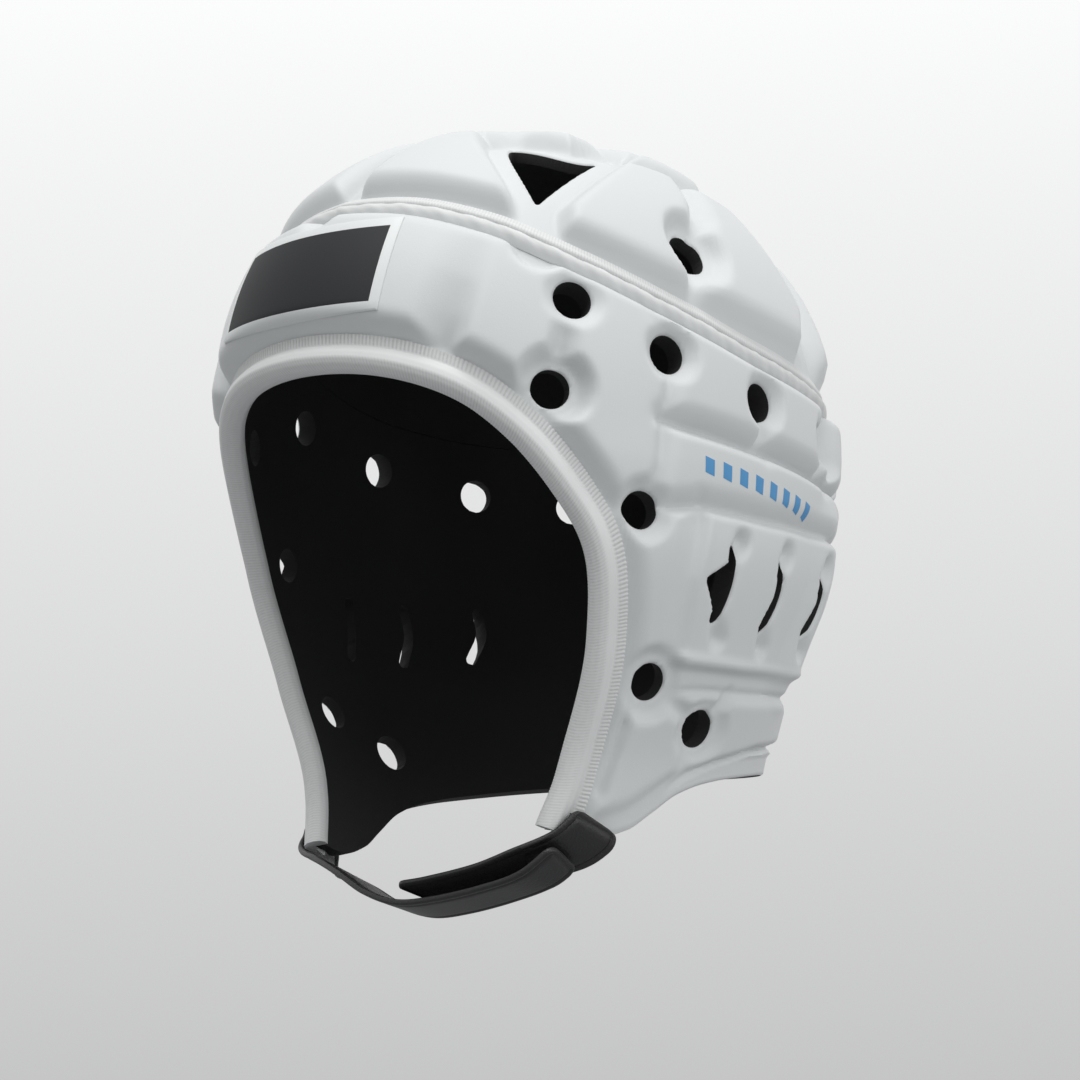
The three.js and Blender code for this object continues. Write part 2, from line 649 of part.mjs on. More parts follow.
// Ribbon along a centre line, laid flat across the jaw, with rounded ends.
function ribbon(rows, lean, size) {
  const left = table(lean, "x", "left");
  const up = table(lean, "x", "up");
  const curve = smoothCurve(rows.map((row) => new THREE.Vector3(row.x, row.y, row.z)));
  const length = curve.getLength();
  const grid = new THREE.BoxGeometry(1, 1, 1, size.columns, size.stations, 1);
  return solid(grid, (spot) => {
    const along = spot.y + 0.5;
    const place = curve.getPointAt(along);
    const ahead = curve.getTangentAt(along);
    const across = new THREE.Vector3(left(place.x), -0.95, up(place.x));
    across.addScaledVector(ahead, -across.dot(ahead)).normalize();
    const face = new THREE.Vector3().crossVectors(ahead, across);
    const fromEnd = Math.min(along, 1 - along) * length;
    const short = Math.max(0, 1 - fromEnd / size.endRadius);
    const half = size.width / 2 - size.endRadius * (1 - Math.sqrt(1 - short ** 2));
    return place.addScaledVector(across, 2 * half * spot.x).addScaledVector(face, spot.z * size.thickness);
  });
}

const LOOKS = {
  foam: { color: 0xe9ecef, roughness: 0.85 },
  knit: { color: 0xf1f3f5, roughness: 0.9 },
  patch: { color: 0x101113, roughness: 0.55 },
  leatherette: { color: 0x1b1d1f, roughness: 0.5 },
};

const group = new THREE.Group();
group.name = "head_guard";
function add(name, body, look) {
  const mesh = body.getMesh();
  const geometry = new THREE.BufferGeometry();
  geometry.setAttribute("position", new THREE.BufferAttribute(mesh.vertProperties, 3));
  geometry.setIndex(new THREE.BufferAttribute(mesh.triVerts, 1));
  const material = new THREE.MeshStandardMaterial({ ...LOOKS[look], metalness: 0 });
  const node = new THREE.Mesh(geometry, material);
  node.name = name;
  group.add(node);
}

add("side_panel", sidePanel, "foam");
add("crown_panel", crownPanel, "foam");
add("face_binding", faceBinding(), "knit");
add("crown_edge_binding", seamBead(1), "knit");
add("panel_edge_binding", seamBead(-1), "knit");
add("forehead_patch", foreheadPatch, "patch");
add("strap_tab", ribbon(TAB_LINE, TAB_LEAN, TAB), "leatherette");
add("chin_strap", ribbon(STRAP_LINE, STRAP_LEAN, STRAP), "leatherette");

export default group;
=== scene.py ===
"""Looks of a padded head guard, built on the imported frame. Sizes below are in millimetres."""

import math

import bpy
import numpy as np
from mathutils import Matrix, Vector


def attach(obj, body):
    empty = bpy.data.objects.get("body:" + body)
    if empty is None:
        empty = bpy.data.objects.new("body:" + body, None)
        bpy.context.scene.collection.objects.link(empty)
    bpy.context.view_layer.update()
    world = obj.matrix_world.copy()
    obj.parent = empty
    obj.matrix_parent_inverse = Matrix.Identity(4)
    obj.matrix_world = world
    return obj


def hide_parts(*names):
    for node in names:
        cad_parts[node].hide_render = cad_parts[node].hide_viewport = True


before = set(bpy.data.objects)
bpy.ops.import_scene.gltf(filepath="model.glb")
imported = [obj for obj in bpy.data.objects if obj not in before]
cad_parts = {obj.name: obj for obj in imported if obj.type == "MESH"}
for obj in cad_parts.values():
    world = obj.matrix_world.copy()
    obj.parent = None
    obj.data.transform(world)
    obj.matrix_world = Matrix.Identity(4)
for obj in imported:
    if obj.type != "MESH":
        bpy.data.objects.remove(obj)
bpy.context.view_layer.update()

MM = 0.001

# Head form inside the guard: height, half width, and depths to the front and to the back.
DOME_HEIGHT = 95.0
DOME_POWER = 2.25
HEAD_SECTIONS = [
    (-95, 81, 102, 107),
    (-130, 81, 100, 100),
    (-165, 73, 94, 84),
    (-200, 60, 88, 80),
    (-235, 54, 84, 75),
]

# Foam: thickness at a flange or in a groove, half the floor of a groove and the rounding of an edge,
# and then the thickness at the top of a pad by height.
FOAM = {"flange": 4.0, "groove_half": 0.3, "edge_round": 0.7}
PAD_TOPS = [(-230, 7.6), (-165, 8.2), (-130, 9.2), (-108, 11.0), (0, 11.0)]

# Crown seam, as the angle from the front and the height.
SEAM_LINE = [(0, -30), (20, -32.5), (40, -39), (60, -51), (80, -63), (100, -71.5), (125, -75.5), (180, -77)]
SEAM = {"split": 0.2, "clear": 0.05, "flange_half": 5.0, "rise_above": 7.0, "rise_below": 5.0}

# Foam edge round the face, from the middle of the brow down to the tip of a cheek flap, as angle and height.
FACE_EDGE = [
    (0, -79.5), (20, -82), (36, -90), (47, -103), (56, -121),
    (61.5, -138), (63.8, -160), (64, -184), (62, -205), (58, -220.5),
]
FACE_FLANGE = {"half": 7.8, "ramp": 6.0}

# Lower edge, from the front past the tip of a cheek flap round to the nape, as angle and height.
LOWER_EDGE = [
    (0, -220), (56, -220.5), (68, -222.5), (76, -219.8), (82, -214.4),
    (89, -207.8), (97, -204), (108, -201.2), (134, -197.4), (180, -195),
]
# Lower flange, with the angle it starts at, and its depth below the pads by angle: cheek, then hem.
LOWER_FLANGE = {"half": 6.8, "rise": 4.0, "from": 50, "depth": [(78, 0.5), (88, 0.55)]}
# Crease above the hem, as angle, height and depth.
LOWER_CREASE = [
    (82, -210, 0), (86.3, -205.4, 0.8), (90.5, -201.5, 1), (99.5, -196.6, 1),
    (114, -191.3, 1), (134, -188, 1), (180, -186, 1),
]
LOWER_CREASE_RISE = {"above": 3.5, "below": 1.6}


def air_hole(at, z, diameter, flat=0.4, depth=0.5):
    """Ventilation hole in a dish: the flat round it and the depth of the dish."""
    return {"at": at, "z": z, "diameter": diameter, "flat": flat, "depth": depth}


# Ventilation holes on the left side, mirrored to the right.
HOLES = {
    "temple_high": air_hole(56.8, -64.8, 11.5, depth=0.4),
    "temple_low": air_hole(53, -91, 11.8, 2.6, 0.85),
    "side_high": air_hole(74.8, -78, 11.8, depth=0.55),
    "above_ear": air_hole(96, -87.5, 11.8),
    "behind_ear": air_hole(118, -93, 11.5),
    "back_side": air_hole(139, -96, 11.5),
    "back_inner": air_hole(160, -97, 11.5),
    "nape_middle": air_hole(180, -97.5, 11.5),
    "cheek_high": air_hole(68.9, -126, 11.5, 0.8, 0.6),
    "jaw_front": air_hole(75.4, -174.8, 11.6, 3.0, 0.8),
    "jaw_back": air_hole(90.8, -186.9, 12.6, 2.2, 0.6),
    "crown_side": air_hole(86, -42.8, 13.5, 2.4, 0.85),
}
HOLE_RISE = 3.4

# Ear slots: top, middle and bottom of each.
EAR_SLOTS = {
    "ear_front": [(88.4, -134.8), (88, -145), (86.4, -154)],
    "ear_middle": [(102.6, -135.4), (103.6, -145), (101.4, -154.6)],
    "ear_rear": [(120, -135), (121.2, -143.5), (119, -152)],
}
EAR_SLOT_HALF = 1.9
# A recess starts above each slot and ends below it, and it is shallow beside the slot. Each of its rows has
# the slot's point that it is near, how far it is turned and raised from that point, and its depth.
EAR_RECESS = {"half": 1.6, "ramp": 3.4}
EAR_RECESS_ROWS = [(0, 1.8, 2.4, 0.75), (0, 0, -2, 0.1), (1, 0, 0, 0.1), (2, 0, 1, 0.1), (2, 1.8, -6, 0.75)]
# The left front slot is torn open at its front edge, to a rounded point.
TEAR = {"top": (87.8, -138.5), "point": (82.9, -143.4), "bottom": (86.4, -153), "round": 0.7}

# Vents in the crown, seen from above, as corners to the left of the middle line.
# The long edges bulge out, and the hub's edge between the inner and the side corner bulges in.
# A thin line runs on from the outer corner to the end of the slit.
VENTS = {
    "front": {
        "outer": (50.5, -50.5), "inner": (18, -25), "side": (32.4, 0.9), "slit": (57, -58),
        "bulge": 4.2, "hub": 16.0,
    },
    "back": {
        "outer": (63, 58), "inner": (24, 46), "side": (46, 33), "slit": (69, 63),
        "bulge": 3.5, "hub": 6.0,
    },
}
# Overrun is the share by which an edge's bow goes on past its ends.
VENT = {"flange_half": 6.5, "ramp": 5.0, "corner_round": 1.2, "overrun": 0.3}


def groove(shape, left, right, *path, half=FOAM["groove_half"]):
    """Groove of the side panel: its shape, the rises to its left and its right, and its bends."""
    return {"shape": shape, "left": left, "right": right, "path": path, "half": half}


# Grooves of the side panel's left half. A bend is a hole's name, or an angle and a height, then a depth.
# The left and the right of a groove are as seen along it from outside.
SIDE_GROOVES = {
    "brow": groove(
        "valley", 6, 12,
        (40, -46, 0.0), (37.6, -60, 0.2), (35.6, -70, 0.55), (34, -79, 1), (33, -87, 1),
    ),
    "temple": groove(
        "valley", 5.5, 5.5,
        (55.8, -70.5, 0.0), (55, -75, 0.45), (54.2, -81, 0.75), ("temple_low", 0.8),
    ),
    "temple_low": groove("crease", 5, 7, ("temple_low", 1), (46.5, -93.5, 1)),
    "side_top": groove("valley", 5, 5, (69, -57, 0.1), ("side_high", 0.3)),
    "side": groove(
        "crease", 7, 2.5,
        ("side_high", 0.4), (73.4, -90, 0.4), (72.5, -98.5, 0.5), (71.5, -112, 0.3), ("cheek_high", 0.5),
    ),
    "cheek": groove("valley", 6, 7, ("cheek_high", 0.5), (62, -126, 1)),
    "above_ear_top": groove("valley", 5, 5, (94, -69, 0.1), ("above_ear", 0.3)),
    "above_ear": groove("crease", 7, 4, ("above_ear", 0.7), (95.5, -103, 0.9)),
    "behind_ear": groove("crease", 7, 6, (118, -75, 0.2), ("behind_ear", 0.6), (118, -106.5, 0.8)),
    "back_side": groove("crease", 7, 7, (139, -76, 0.2), ("back_side", 0.6), (139, -108.5, 0.8)),
    "back_inner": groove("crease", 7, 7, (160, -77, 0.2), ("back_inner", 0.6), (160, -110, 0.8)),
    "nape_middle": groove("crease", 7, 7, (180, -77, 0.2), ("nape_middle", 0.6), (180, -111.5, 0.8)),
    "bar_top": groove(
        "crease", 8, 4,
        (72.5, -98.5, 0.75), (80, -100, 1), (94, -103, 1), (118, -106.5, 1), (180, -111.5, 1),
    ),
    "bar_low": groove(
        "crease", 7, 3.5,
        ("cheek_high", 0.7), (81, -123.2, 0.8), (97, -124.4, 0.8), (125, -123.3, 0.8), (180, -124, 0.8),
    ),
    "ear_front": groove(
        "valley", 3.5, 9,
        (81, -123.3, 0.5), (79, -143, 0.3), (79.5, -164, 0.3), ("jaw_front", 0.5),
    ),
    "ear_back": groove("crease", 6, 6, (133, -122, 0.8), (133, -168, 0.8)),
    "back_bar": groove("crease", 8, 8, (133, -145, 0.9), (180, -147, 0.9)),
    "jaw_edge": groove(
        "crease", 2.6, 4,
        (71.5, -181, 0.3), (71.6, -187, 1), (70.6, -196, 1), (68.2, -209, 1),
    ),
    "jaw_between": groove(
        "valley", 5, 4,
        ("jaw_front", 0.7), ("jaw_back", 0.7), (88, -194.5, 0.55), (88, -203, 0.3),
    ),
    "jaw_back": groove("valley", 4, 4, (97, -175, 0.8), ("jaw_back", 0.7)),
    "channel_low": groove(
        "crease", 2.5, 4,
        (79, -176.6, 0.7), (88, -175.4, 0.8), (104, -174.7, 0.8), (134, -172, 0.8), (180, -171, 0.8),
    ),
    "nape_side": groove("crease", 7, 7, (134, -168, 0.9), (134, -190, 0.9)),
    "nape": groove("crease", 7, 7, (180, -168, 0.9), (180, -190, 0.9)),
    "ear_channel": groove(
        "crease", 2.6, 3,
        (78, -172.8, 0.5), (97, -172.2, 0.5), (134, -169.2, 0.5), (180, -168, 0.5), half=3.2,
    ),
}

# Raised lines: narrow ones at the temple and round the ear panel, and a wide swell behind the ear.
RIDGES = {
    "temple_ring": {
        "path": [(48.5, -85), (50.5, -82.4), (53, -81.6), (55.8, -82.4), (58, -85.6)],
        "half": 1.1, "rise": 0.9,
    },
    "ear_low": {"path": [(80, -167), (97, -167.8), (116, -167.4), (133, -165)], "half": 2.6, "rise": 1.3},
    "ear_rear": {"path": [(123, -124), (124, -142), (123, -157), (122, -164)], "half": 17.0, "rise": 3.0},
    "ear_front": {"path": [(82.2, -126), (80.6, -143), (80, -166)], "half": 3.0, "rise": 0.7},
}

# Grooves of the crown's left half: depth, half the width of the floor, and bends seen from above.
CROWN_GROOVES = {
    "front_middle": (1, 2.0, [(0, -84), (0, -37)]),
    "front_cross": (0.9, 0.5, [(0, -37), (9, -33), (18, -25)]),
    "hub_middle": (0.9, 0.5, [(0, 8), (30, 8)]),
    "hub_back": (1, 0.5, [(0, 46), (24, 46)]),
    "hub_side": (0.9, 0.5, [(33, -1), (35, 14), (46, 33)]),
    "back_cross": (0.9, 0.5, [(0, 70), (38, 66)]),
    "back_middle": (1, 1.0, [(0, 70), (0, 100)]),
    "back_side": (1, 3.5, [(60, 57), (66, 52), (70, 47)]),
    "side_low": (0.9, 0.5, [(76.5, -13), (71, -6), (63, 5), (50, 10)]),
    "side_row": (0.85, 0.5, [(42, -18), (46, -10), (49, 4), (51, 20), (51, 36)]),
}
CROWN_GROOVE_RISE = 7.0

# Chin strap from its free end round to the right flap, and the tab on the left flap that it closes on.
STRAP_LINE = [
    (57.4, -46.8, -229.4), (49.5, -51.5, -236), (36.5, -54.5, -239.8), (20, -57, -242.6), (5, -57.8, -243.2),
    (-10, -56.5, -239.6), (-26, -52.5, -233.4), (-42, -46.3, -228.6), (-58.2, -37.4, -224.6),
    (-62.5, -32.4, -216.6),
]
TAB_LINE = [
    (59.7, -35.7, -218.4), (58.9, -37.8, -222.4), (54, -42.4, -227), (45, -48.4, -230.8),
    (34, -53.4, -234.4), (18, -57.2, -237), (5, -58.8, -238),
]
# Lean of each band's front edge: a place across the head, and the shares to the left and upwards there.
STRAP = {
    "width": 19.0, "thickness": 2.0, "end_radius": 3.6,
    "lean": [(-58, 0.17, 0.3), (0, 0.0, 0.2), (54, 0.1, 0.1)],
}
TAB = {
    "width": 19.0, "thickness": 1.9, "end_radius": 4.0, "pile_from": 24,
    "lean": [(5, 0.0, 0.2), (57, -0.2, 0.28)],
}
# Share of each front edge's direction along Y, which is to the front.
LEAN_AHEAD = -0.95

# Camera that sees the guard as the photograph does.
VIEW = {"azimuth": 42.8, "elevation": -9.25, "roll": -0.5, "distance": 1093.0, "target": (0, 0, -115)}
LENS = {"mm": 111.7, "sensor": 36, "shift_x": 0.0112, "shift_y": -0.0196}

# Mesh steps, coarser on the side away from the camera.
STEP = {"panel": 1.05, "far": 2.2, "bead": 0.24}
FINE = {"from": -25.0, "to": 150.0}
# Points on half the face edge, half the seam, the lower edge and a slot, between bends or knots of a line,
# and on the lines that the tapes and the straps are stepped along.
POINTS = {
    "face": 120, "seam": 72, "lower": 60, "slot": 9, "bends": 8, "knots": 60,
    "face_tape": 2400, "seam_tape": 3600, "strap": 400,
}
# Distance that stands for far away, and the reach within which a hole and a slot count.
FAR = 60.0
NEAR = {"hole": 20, "slot": 40}


def monotone(rows, column=1):
    """Smooth look-up of a column by the first one, without overshoot between rows."""
    order = np.array(sorted(rows), float)
    xs, ys = order[:, 0], order[:, column]
    slopes = np.diff(ys) / np.diff(xs)
    tangents = np.empty(len(xs))
    tangents[0] = slopes[0]
    tangents[-1] = slopes[-1]
    for i in range(1, len(xs) - 1):
        before, after = slopes[i - 1], slopes[i]
        tangents[i] = 2 * before * after / (before + after) if before * after > 0 else 0

    def look_up(x):
        x = np.clip(np.asarray(x, float), xs[0], xs[-1])
        i = np.clip(np.searchsorted(xs, x) - 1, 0, len(xs) - 2)
        span = xs[i + 1] - xs[i]
        u = (x - xs[i]) / span
        straight = ys[i] + (ys[i + 1] - ys[i]) * u * u * (3 - 2 * u)
        return straight + u * (1 - u) * span * ((1 - u) * tangents[i] - u * tangents[i + 1])

    return look_up


section_half = monotone(HEAD_SECTIONS, 1)
section_front = monotone(HEAD_SECTIONS, 2)
section_back = monotone(HEAD_SECTIONS, 3)
seam_table = monotone(SEAM_LINE)
lower_table = monotone(LOWER_EDGE)
pad_top = monotone(PAD_TOPS)


def from_front(at):
    return np.abs(np.mod(np.asarray(at, float) + 180, 360) - 180)


def seam_height(at):
    return seam_table(from_front(at))


def lower_height(at):
    return lower_table(from_front(at))


def form_point(at, z):
    """Points of the head form at angles from the front, in degrees, and heights."""
    at, z = np.broadcast_arrays(np.asarray(at, float), np.asarray(z, float))
    up = np.clip((z + DOME_HEIGHT) / DOME_HEIGHT, 0, 1)
    shrink = (1 - up**DOME_POWER) ** (1 / DOME_POWER)
    level = np.minimum(z, -DOME_HEIGHT)
    forward = np.cos(np.radians(at))
    depth = np.where(forward > 0, section_front(level), section_back(level))
    x = section_half(level) * shrink * np.sin(np.radians(at))
    return np.stack([x, -depth * shrink * forward, z], -1)


def form_normal(points):
    """Outward normals of the head form at its points."""
    x, y, z = points[..., 0], points[..., 1], points[..., 2]
    level = np.minimum(z, -DOME_HEIGHT)
    half = section_half(level)
    depth = np.where(y < 0, section_front(level), section_back(level))
    half_slope = (section_half(level + 1) - section_half(level - 1)) / 2
    front_slope = section_front(level + 1) - section_front(level - 1)
    back_slope = section_back(level + 1) - section_back(level - 1)
    depth_slope = np.where(y < 0, front_slope, back_slope) / 2
    reach = np.hypot(x / half, y / depth)
    up = np.clip((z + DOME_HEIGHT) / DOME_HEIGHT, 0, 1)
    on_dome = z > -DOME_HEIGHT
    scale = np.where(on_dome, np.maximum(reach, 1e-9) ** (DOME_POWER - 2), 1)
    narrowing = (x / half) ** 2 * half_slope / half + (y / depth) ** 2 * depth_slope / depth
    rise = np.where(on_dome, up ** (DOME_POWER - 1) / DOME_HEIGHT, -narrowing)
    normal = np.stack([x / half**2 * scale, y / depth**2 * scale, rise], -1)
    return normal / np.linalg.norm(normal, axis=-1, keepdims=True)


def dome_point(x, y):
    """Points of the dome above points seen from above."""
    x, y = np.broadcast_arrays(np.asarray(x, float), np.asarray(y, float))
    _, half, front, back = HEAD_SECTIONS[0]
    reach = np.hypot(x / half, y / np.where(y < 0, front, back))
    up = np.clip(1 - reach**DOME_POWER, 0, 1) ** (1 / DOME_POWER)
    return np.stack([x, y, DOME_HEIGHT * (up - 1)], -1)


def run_along(points):
    """Length along a line up to each of its points."""
    return np.concatenate([[0], np.cumsum(np.linalg.norm(np.diff(points, axis=0), axis=1))])


def sampled(rows, run, stations):
    """Rows at stations of a run, straight between the rows given."""
    return np.stack([np.interp(stations, run, column) for column in rows.T], -1)


def catmull(rows, count):
    """Even points on a smooth curve through rows of coordinates."""
    knots = np.array(rows, float)
    ends = np.vstack([2 * knots[0] - knots[1], knots, 2 * knots[-1] - knots[-2]])
    pieces = []
    for i in range(len(knots) - 1):
        p0, p1, p2, p3 = ends[i : i + 4]
        u = np.linspace(0, 1, POINTS["knots"], endpoint=False)[:, None]
        line = 2 * p1 + (p2 - p0) * u + (2 * p0 - 5 * p1 + 4 * p2 - p3) * u**2
        pieces.append(0.5 * (line + (3 * p1 - p0 - 3 * p2 + p3) * u**3))
    fine = np.vstack(pieces + [knots[-1:]])
    run = run_along(fine)
    return sampled(fine, run, np.linspace(0, run[-1], count))


face_rows = FACE_EDGE[::-1] + [(-at, z) for at, z in FACE_EDGE[1:]]
face_curve = catmull(face_rows, 2 * POINTS["face"] + 1)
face_half = face_curve[POINTS["face"] :]
face_line = form_point(face_curve[:, 0], face_curve[:, 1])
seam_angles = np.linspace(-180, 180, 2 * POINTS["seam"] + 1)
seam_line = form_point(seam_angles, seam_height(seam_angles))
lower_angles = np.linspace(LOWER_FLANGE["from"], 180, POINTS["lower"])
lower_line = form_point(lower_angles, lower_height(lower_angles))
lower_depth = np.interp(lower_angles, *np.array(LOWER_FLANGE["depth"]).T)


def bend(row):
    """Angle, height and depth of a bend, which may be given as a hole's name and a depth."""
    return (HOLES[row[0]]["at"], HOLES[row[0]]["z"], row[1]) if isinstance(row[0], str) else row


def bends(name):
    """Angles and heights of a groove's bends."""
    return [bend(row)[:2] for row in SIDE_GROOVES[name]["path"]]


def hole_place(name):
    return form_point(HOLES[name]["at"], HOLES[name]["z"])


def slot_line(slot):
    return form_point(*catmull(slot, POINTS["slot"]).T)


def dense(rows):
    """Rows with more even steps between them, so that a line keeps to the head form."""
    rows = np.array(rows, float)
    steps = np.linspace(0, len(rows) - 1, (len(rows) - 1) * POINTS["bends"] + 1)
    return sampled(rows, np.arange(len(rows)), steps)


def vent_edges(vent):
    """Edges of a vent seen from above: each one's ends and bulge, and its directions along and outwards."""
    outer, inner, side = (np.array(vent[corner], float) for corner in ("outer", "inner", "side"))
    middle = np.mean([outer, inner, side], axis=0)
    bulges = [vent["bulge"], -vent["hub"], vent["bulge"]]
    for start, end, bulge in zip([outer, inner, side], [inner, side, outer], bulges):
        along = (end - start) / np.linalg.norm(end - start)
        out = np.array([along[1], -along[0]])
        yield start, end, bulge, along, out if out @ (start - middle) > 0 else -out


def vent_outline(vent):
    """Corners of a vent's outline seen from above, with its edges bowed."""
    share = np.linspace(0, 1, POINTS["bends"], endpoint=False)[:, None]
    lines = []
    for start, end, bulge, along, out in vent_edges(vent):
        lines.append(start + (end - start) * share + out * bulge * 4 * share * (1 - share))
    return np.vstack(lines)


# Every line or point where the foam is thin.
THIN = []


def add_thin(line, depth, half, left, right=None, shape="crease"):
    """Adds a thin line, with the depth at each of its points and the rises beside it."""
    depths = np.broadcast_to(np.asarray(depth, float), (len(line),))
    right = left if right is None else right
    THIN.append({"line": line, "depth": depths, "half": half, "left": left, "right": right, "shape": shape})


def add_side_line(rows, half, left, right=None, shape="crease"):
    """Adds a thin line of the side panel through rows of angle, height and depth."""
    rows = dense(rows)
    add_thin(form_point(*rows[:, :2].T), rows[:, 2], half, left, right, shape)


add_thin(seam_line[POINTS["seam"] :], 1.0, SEAM["flange_half"], SEAM["rise_above"], SEAM["rise_below"])
add_thin(lower_line, lower_depth, LOWER_FLANGE["half"], LOWER_FLANGE["rise"])
add_side_line(LOWER_CREASE, FOAM["groove_half"], LOWER_CREASE_RISE["above"], LOWER_CREASE_RISE["below"])
add_thin(face_line[: POINTS["face"] + 1], 1.0, FACE_FLANGE["half"], FACE_FLANGE["ramp"])
for cut in SIDE_GROOVES.values():
    rows = [bend(row) for row in cut["path"]]
    add_side_line(rows, cut["half"], cut["left"], cut["right"], cut["shape"])
for depth, half, path in CROWN_GROOVES.values():
    add_thin(dome_point(*dense(path).T), depth, half, CROWN_GROOVE_RISE)
for name, hole in HOLES.items():
    flat = hole["diameter"] / 2 + hole["flat"]
    add_thin(hole_place(name)[None], hole["depth"], flat, HOLE_RISE, shape="dish")
for slot in EAR_SLOTS.values():
    rows = [(slot[k][0] + turn, slot[k][1] + rise, depth) for k, turn, rise, depth in EAR_RECESS_ROWS]
    add_side_line(rows, EAR_RECESS["half"], EAR_RECESS["ramp"])
for vent in VENTS.values():
    outline = vent_outline(vent)
    for path in (np.vstack([outline, outline[:1]]), dense([vent["outer"], vent["slit"]])):
        add_thin(dome_point(*path.T), 1.0, VENT["flange_half"], VENT["ramp"])


def nearest(points, line):
    """Distance to a polyline or a point, the place along it in steps, and the share that is to its left."""
    if len(line) == 1:
        away = np.linalg.norm(points - line[0], axis=1)
        return away, np.zeros(len(points)), np.zeros(len(points))
    best = np.full(len(points), np.inf)
    step = np.zeros(len(points))
    left = np.zeros(len(points))
    for index, (start, end) in enumerate(zip(line[:-1], line[1:])):
        along = end - start
        share = np.clip((points - start) @ along / (along @ along), 0, 1)
        away = points - start - share[:, None] * along
        squared = np.einsum("ij,ij->i", away, away)
        closer = squared < best
        best[closer] = squared[closer]
        step[closer] = index + share[closer]
        to_left = np.cross(form_normal((start + end) / 2), along / np.linalg.norm(along))
        left[closer] = (away @ to_left)[closer]
    best = np.sqrt(best)
    return best, step, left / np.maximum(best, 1e-6)


# How tight the corners of the pads are, and how steeply a crease and a dish rise.
CORNER_POWER = 6.0
CREASE_POWER = 2.1
DISH_POWER = 0.9

# Height of a pad beside a thin line, by how far it is short of the pad's full height there:
# a crease rises at once, a valley is round at its bottom, and a dish steepens to a clear rim.
SHAPES = {
    "crease": lambda short: 1 - short**CREASE_POWER,
    "valley": lambda short: (1 - short) ** 2 * (1 + 2 * short),
    "dish": lambda short: 1 - short**DISH_POWER,
}


def pad_share(points):
    """Share of a pad's full height: none in a deep groove, all in the middle of a pad."""
    missing = np.zeros(len(points))
    for side in (1, -1):
        place = points * np.array([side, 1, 1])
        for thin in THIN:
            line = thin["line"]
            reach = thin["half"] + max(thin["left"], thin["right"])
            near = np.all((place > line.min(0) - reach) & (place < line.max(0) + reach), axis=1)
            if not near.any():
                continue
            away, step, left = nearest(place[near], line)
            depth = np.interp(step, np.arange(len(line)), thin["depth"])
            rise = thin["right"] + (thin["left"] - thin["right"]) * (0.5 + 0.5 * left)
            short = 1 - np.clip((away - thin["half"]) / rise, 0, 1)
            height = SHAPES[thin["shape"]](short)
            missing[near] += (depth * (1 - height)) ** CORNER_POWER
    return 1 - np.minimum(missing ** (1 / CORNER_POWER), 1)


def ridge_height(points):
    total = np.zeros(len(points))
    for side in (1, -1):
        place = points * np.array([side, 1, 1])
        for ridge in RIDGES.values():
            line = form_point(*dense(ridge["path"]).T)
            away = nearest(place, line)[0]
            total += ridge["rise"] * np.clip(1 - (away / ridge["half"]) ** 2, 0, 1) ** 2
    return total


def foam_thickness(points):
    rise = (pad_top(points[:, 2]) - FOAM["flange"]) * pad_share(points)
    return FOAM["flange"] + rise + ridge_height(points)


def clip_sheet(params, triangles, inside_by):
    """Trims a triangle sheet in parameter space to where inside_by is positive."""
    keep = inside_by > 0
    count = keep[triangles].sum(1)
    whole = triangles[count == 3]
    made = []
    cut_edges = {}
    extra = []

    def crossing(a, b):
        key = (a, b) if a < b else (b, a)
        if key not in cut_edges:
            share = inside_by[key[0]] / (inside_by[key[0]] - inside_by[key[1]])
            cut_edges[key] = len(params) + len(extra)
            extra.append(params[key[0]] + share * (params[key[1]] - params[key[0]]))
        return cut_edges[key]

    for tri in triangles[(count == 1) | (count == 2)]:
        lone_inside = keep[tri].sum() == 1
        turn = int(np.argmax(keep[tri] if lone_inside else ~keep[tri]))
        a, b, c = (int(tri[(turn + k) % 3]) for k in range(3))
        ab, ac = crossing(a, b), crossing(a, c)
        if lone_inside:
            made.append((a, ab, ac))
        else:
            made.append((ab, b, c))
            made.append((ab, c, ac))
    every = np.vstack([whole, np.array(made, int).reshape(-1, 3)])
    points = np.vstack([params, np.array(extra).reshape(-1, params.shape[1])])
    used, new = np.unique(every, return_inverse=True)
    return points[used], new.reshape(-1, 3)


def first_corners(columns, rows):
    """First corner of each cell of a grid with its points in column order."""
    i, j = np.meshgrid(np.arange(columns - 1), np.arange(rows - 1), indexing="ij")
    return (i * rows + j).ravel()


def grid(columns, rows):
    """Triangles of a grid with its points in column order."""
    a = first_corners(columns, rows)
    b, c, d = a + rows, a + rows + 1, a + 1
    return np.vstack([np.stack([a, d, b], 1), np.stack([b, d, c], 1)])


def rim_edges(triangles):
    """Directed edges that belong to one triangle only."""
    edges = np.vstack([triangles[:, [0, 1]], triangles[:, [1, 2]], triangles[:, [2, 0]]])
    both = np.sort(edges, axis=1)
    _, first, times = np.unique(both, axis=0, return_index=True, return_counts=True)
    return edges[first[times == 1]]


def looks_in(points, faces, out):
    """Whether faces look inwards, by the outward direction at each."""
    first, second, third = (points[faces[:, k]] for k in range(3))
    return np.einsum("ij,ij->i", np.cross(second - first, third - first), out).sum() < 0


def close_sheet(top, under, quads, out):
    """Closes a thin sheet: its points, the faces of its top, and those of its underside and its walls."""
    total = len(top)
    edges = rim_edges(np.vstack([quads[:, [0, 1, 2]], quads[:, [0, 2, 3]]]))
    if looks_in(top, quads, out):
        quads = quads[:, ::-1]
        edges = edges[:, ::-1]
    walls = np.stack([edges[:, 1], edges[:, 0], edges[:, 0] + total, edges[:, 1] + total], 1)
    return np.vstack([top, under]), quads, np.vstack([quads[:, ::-1] + total, walls])


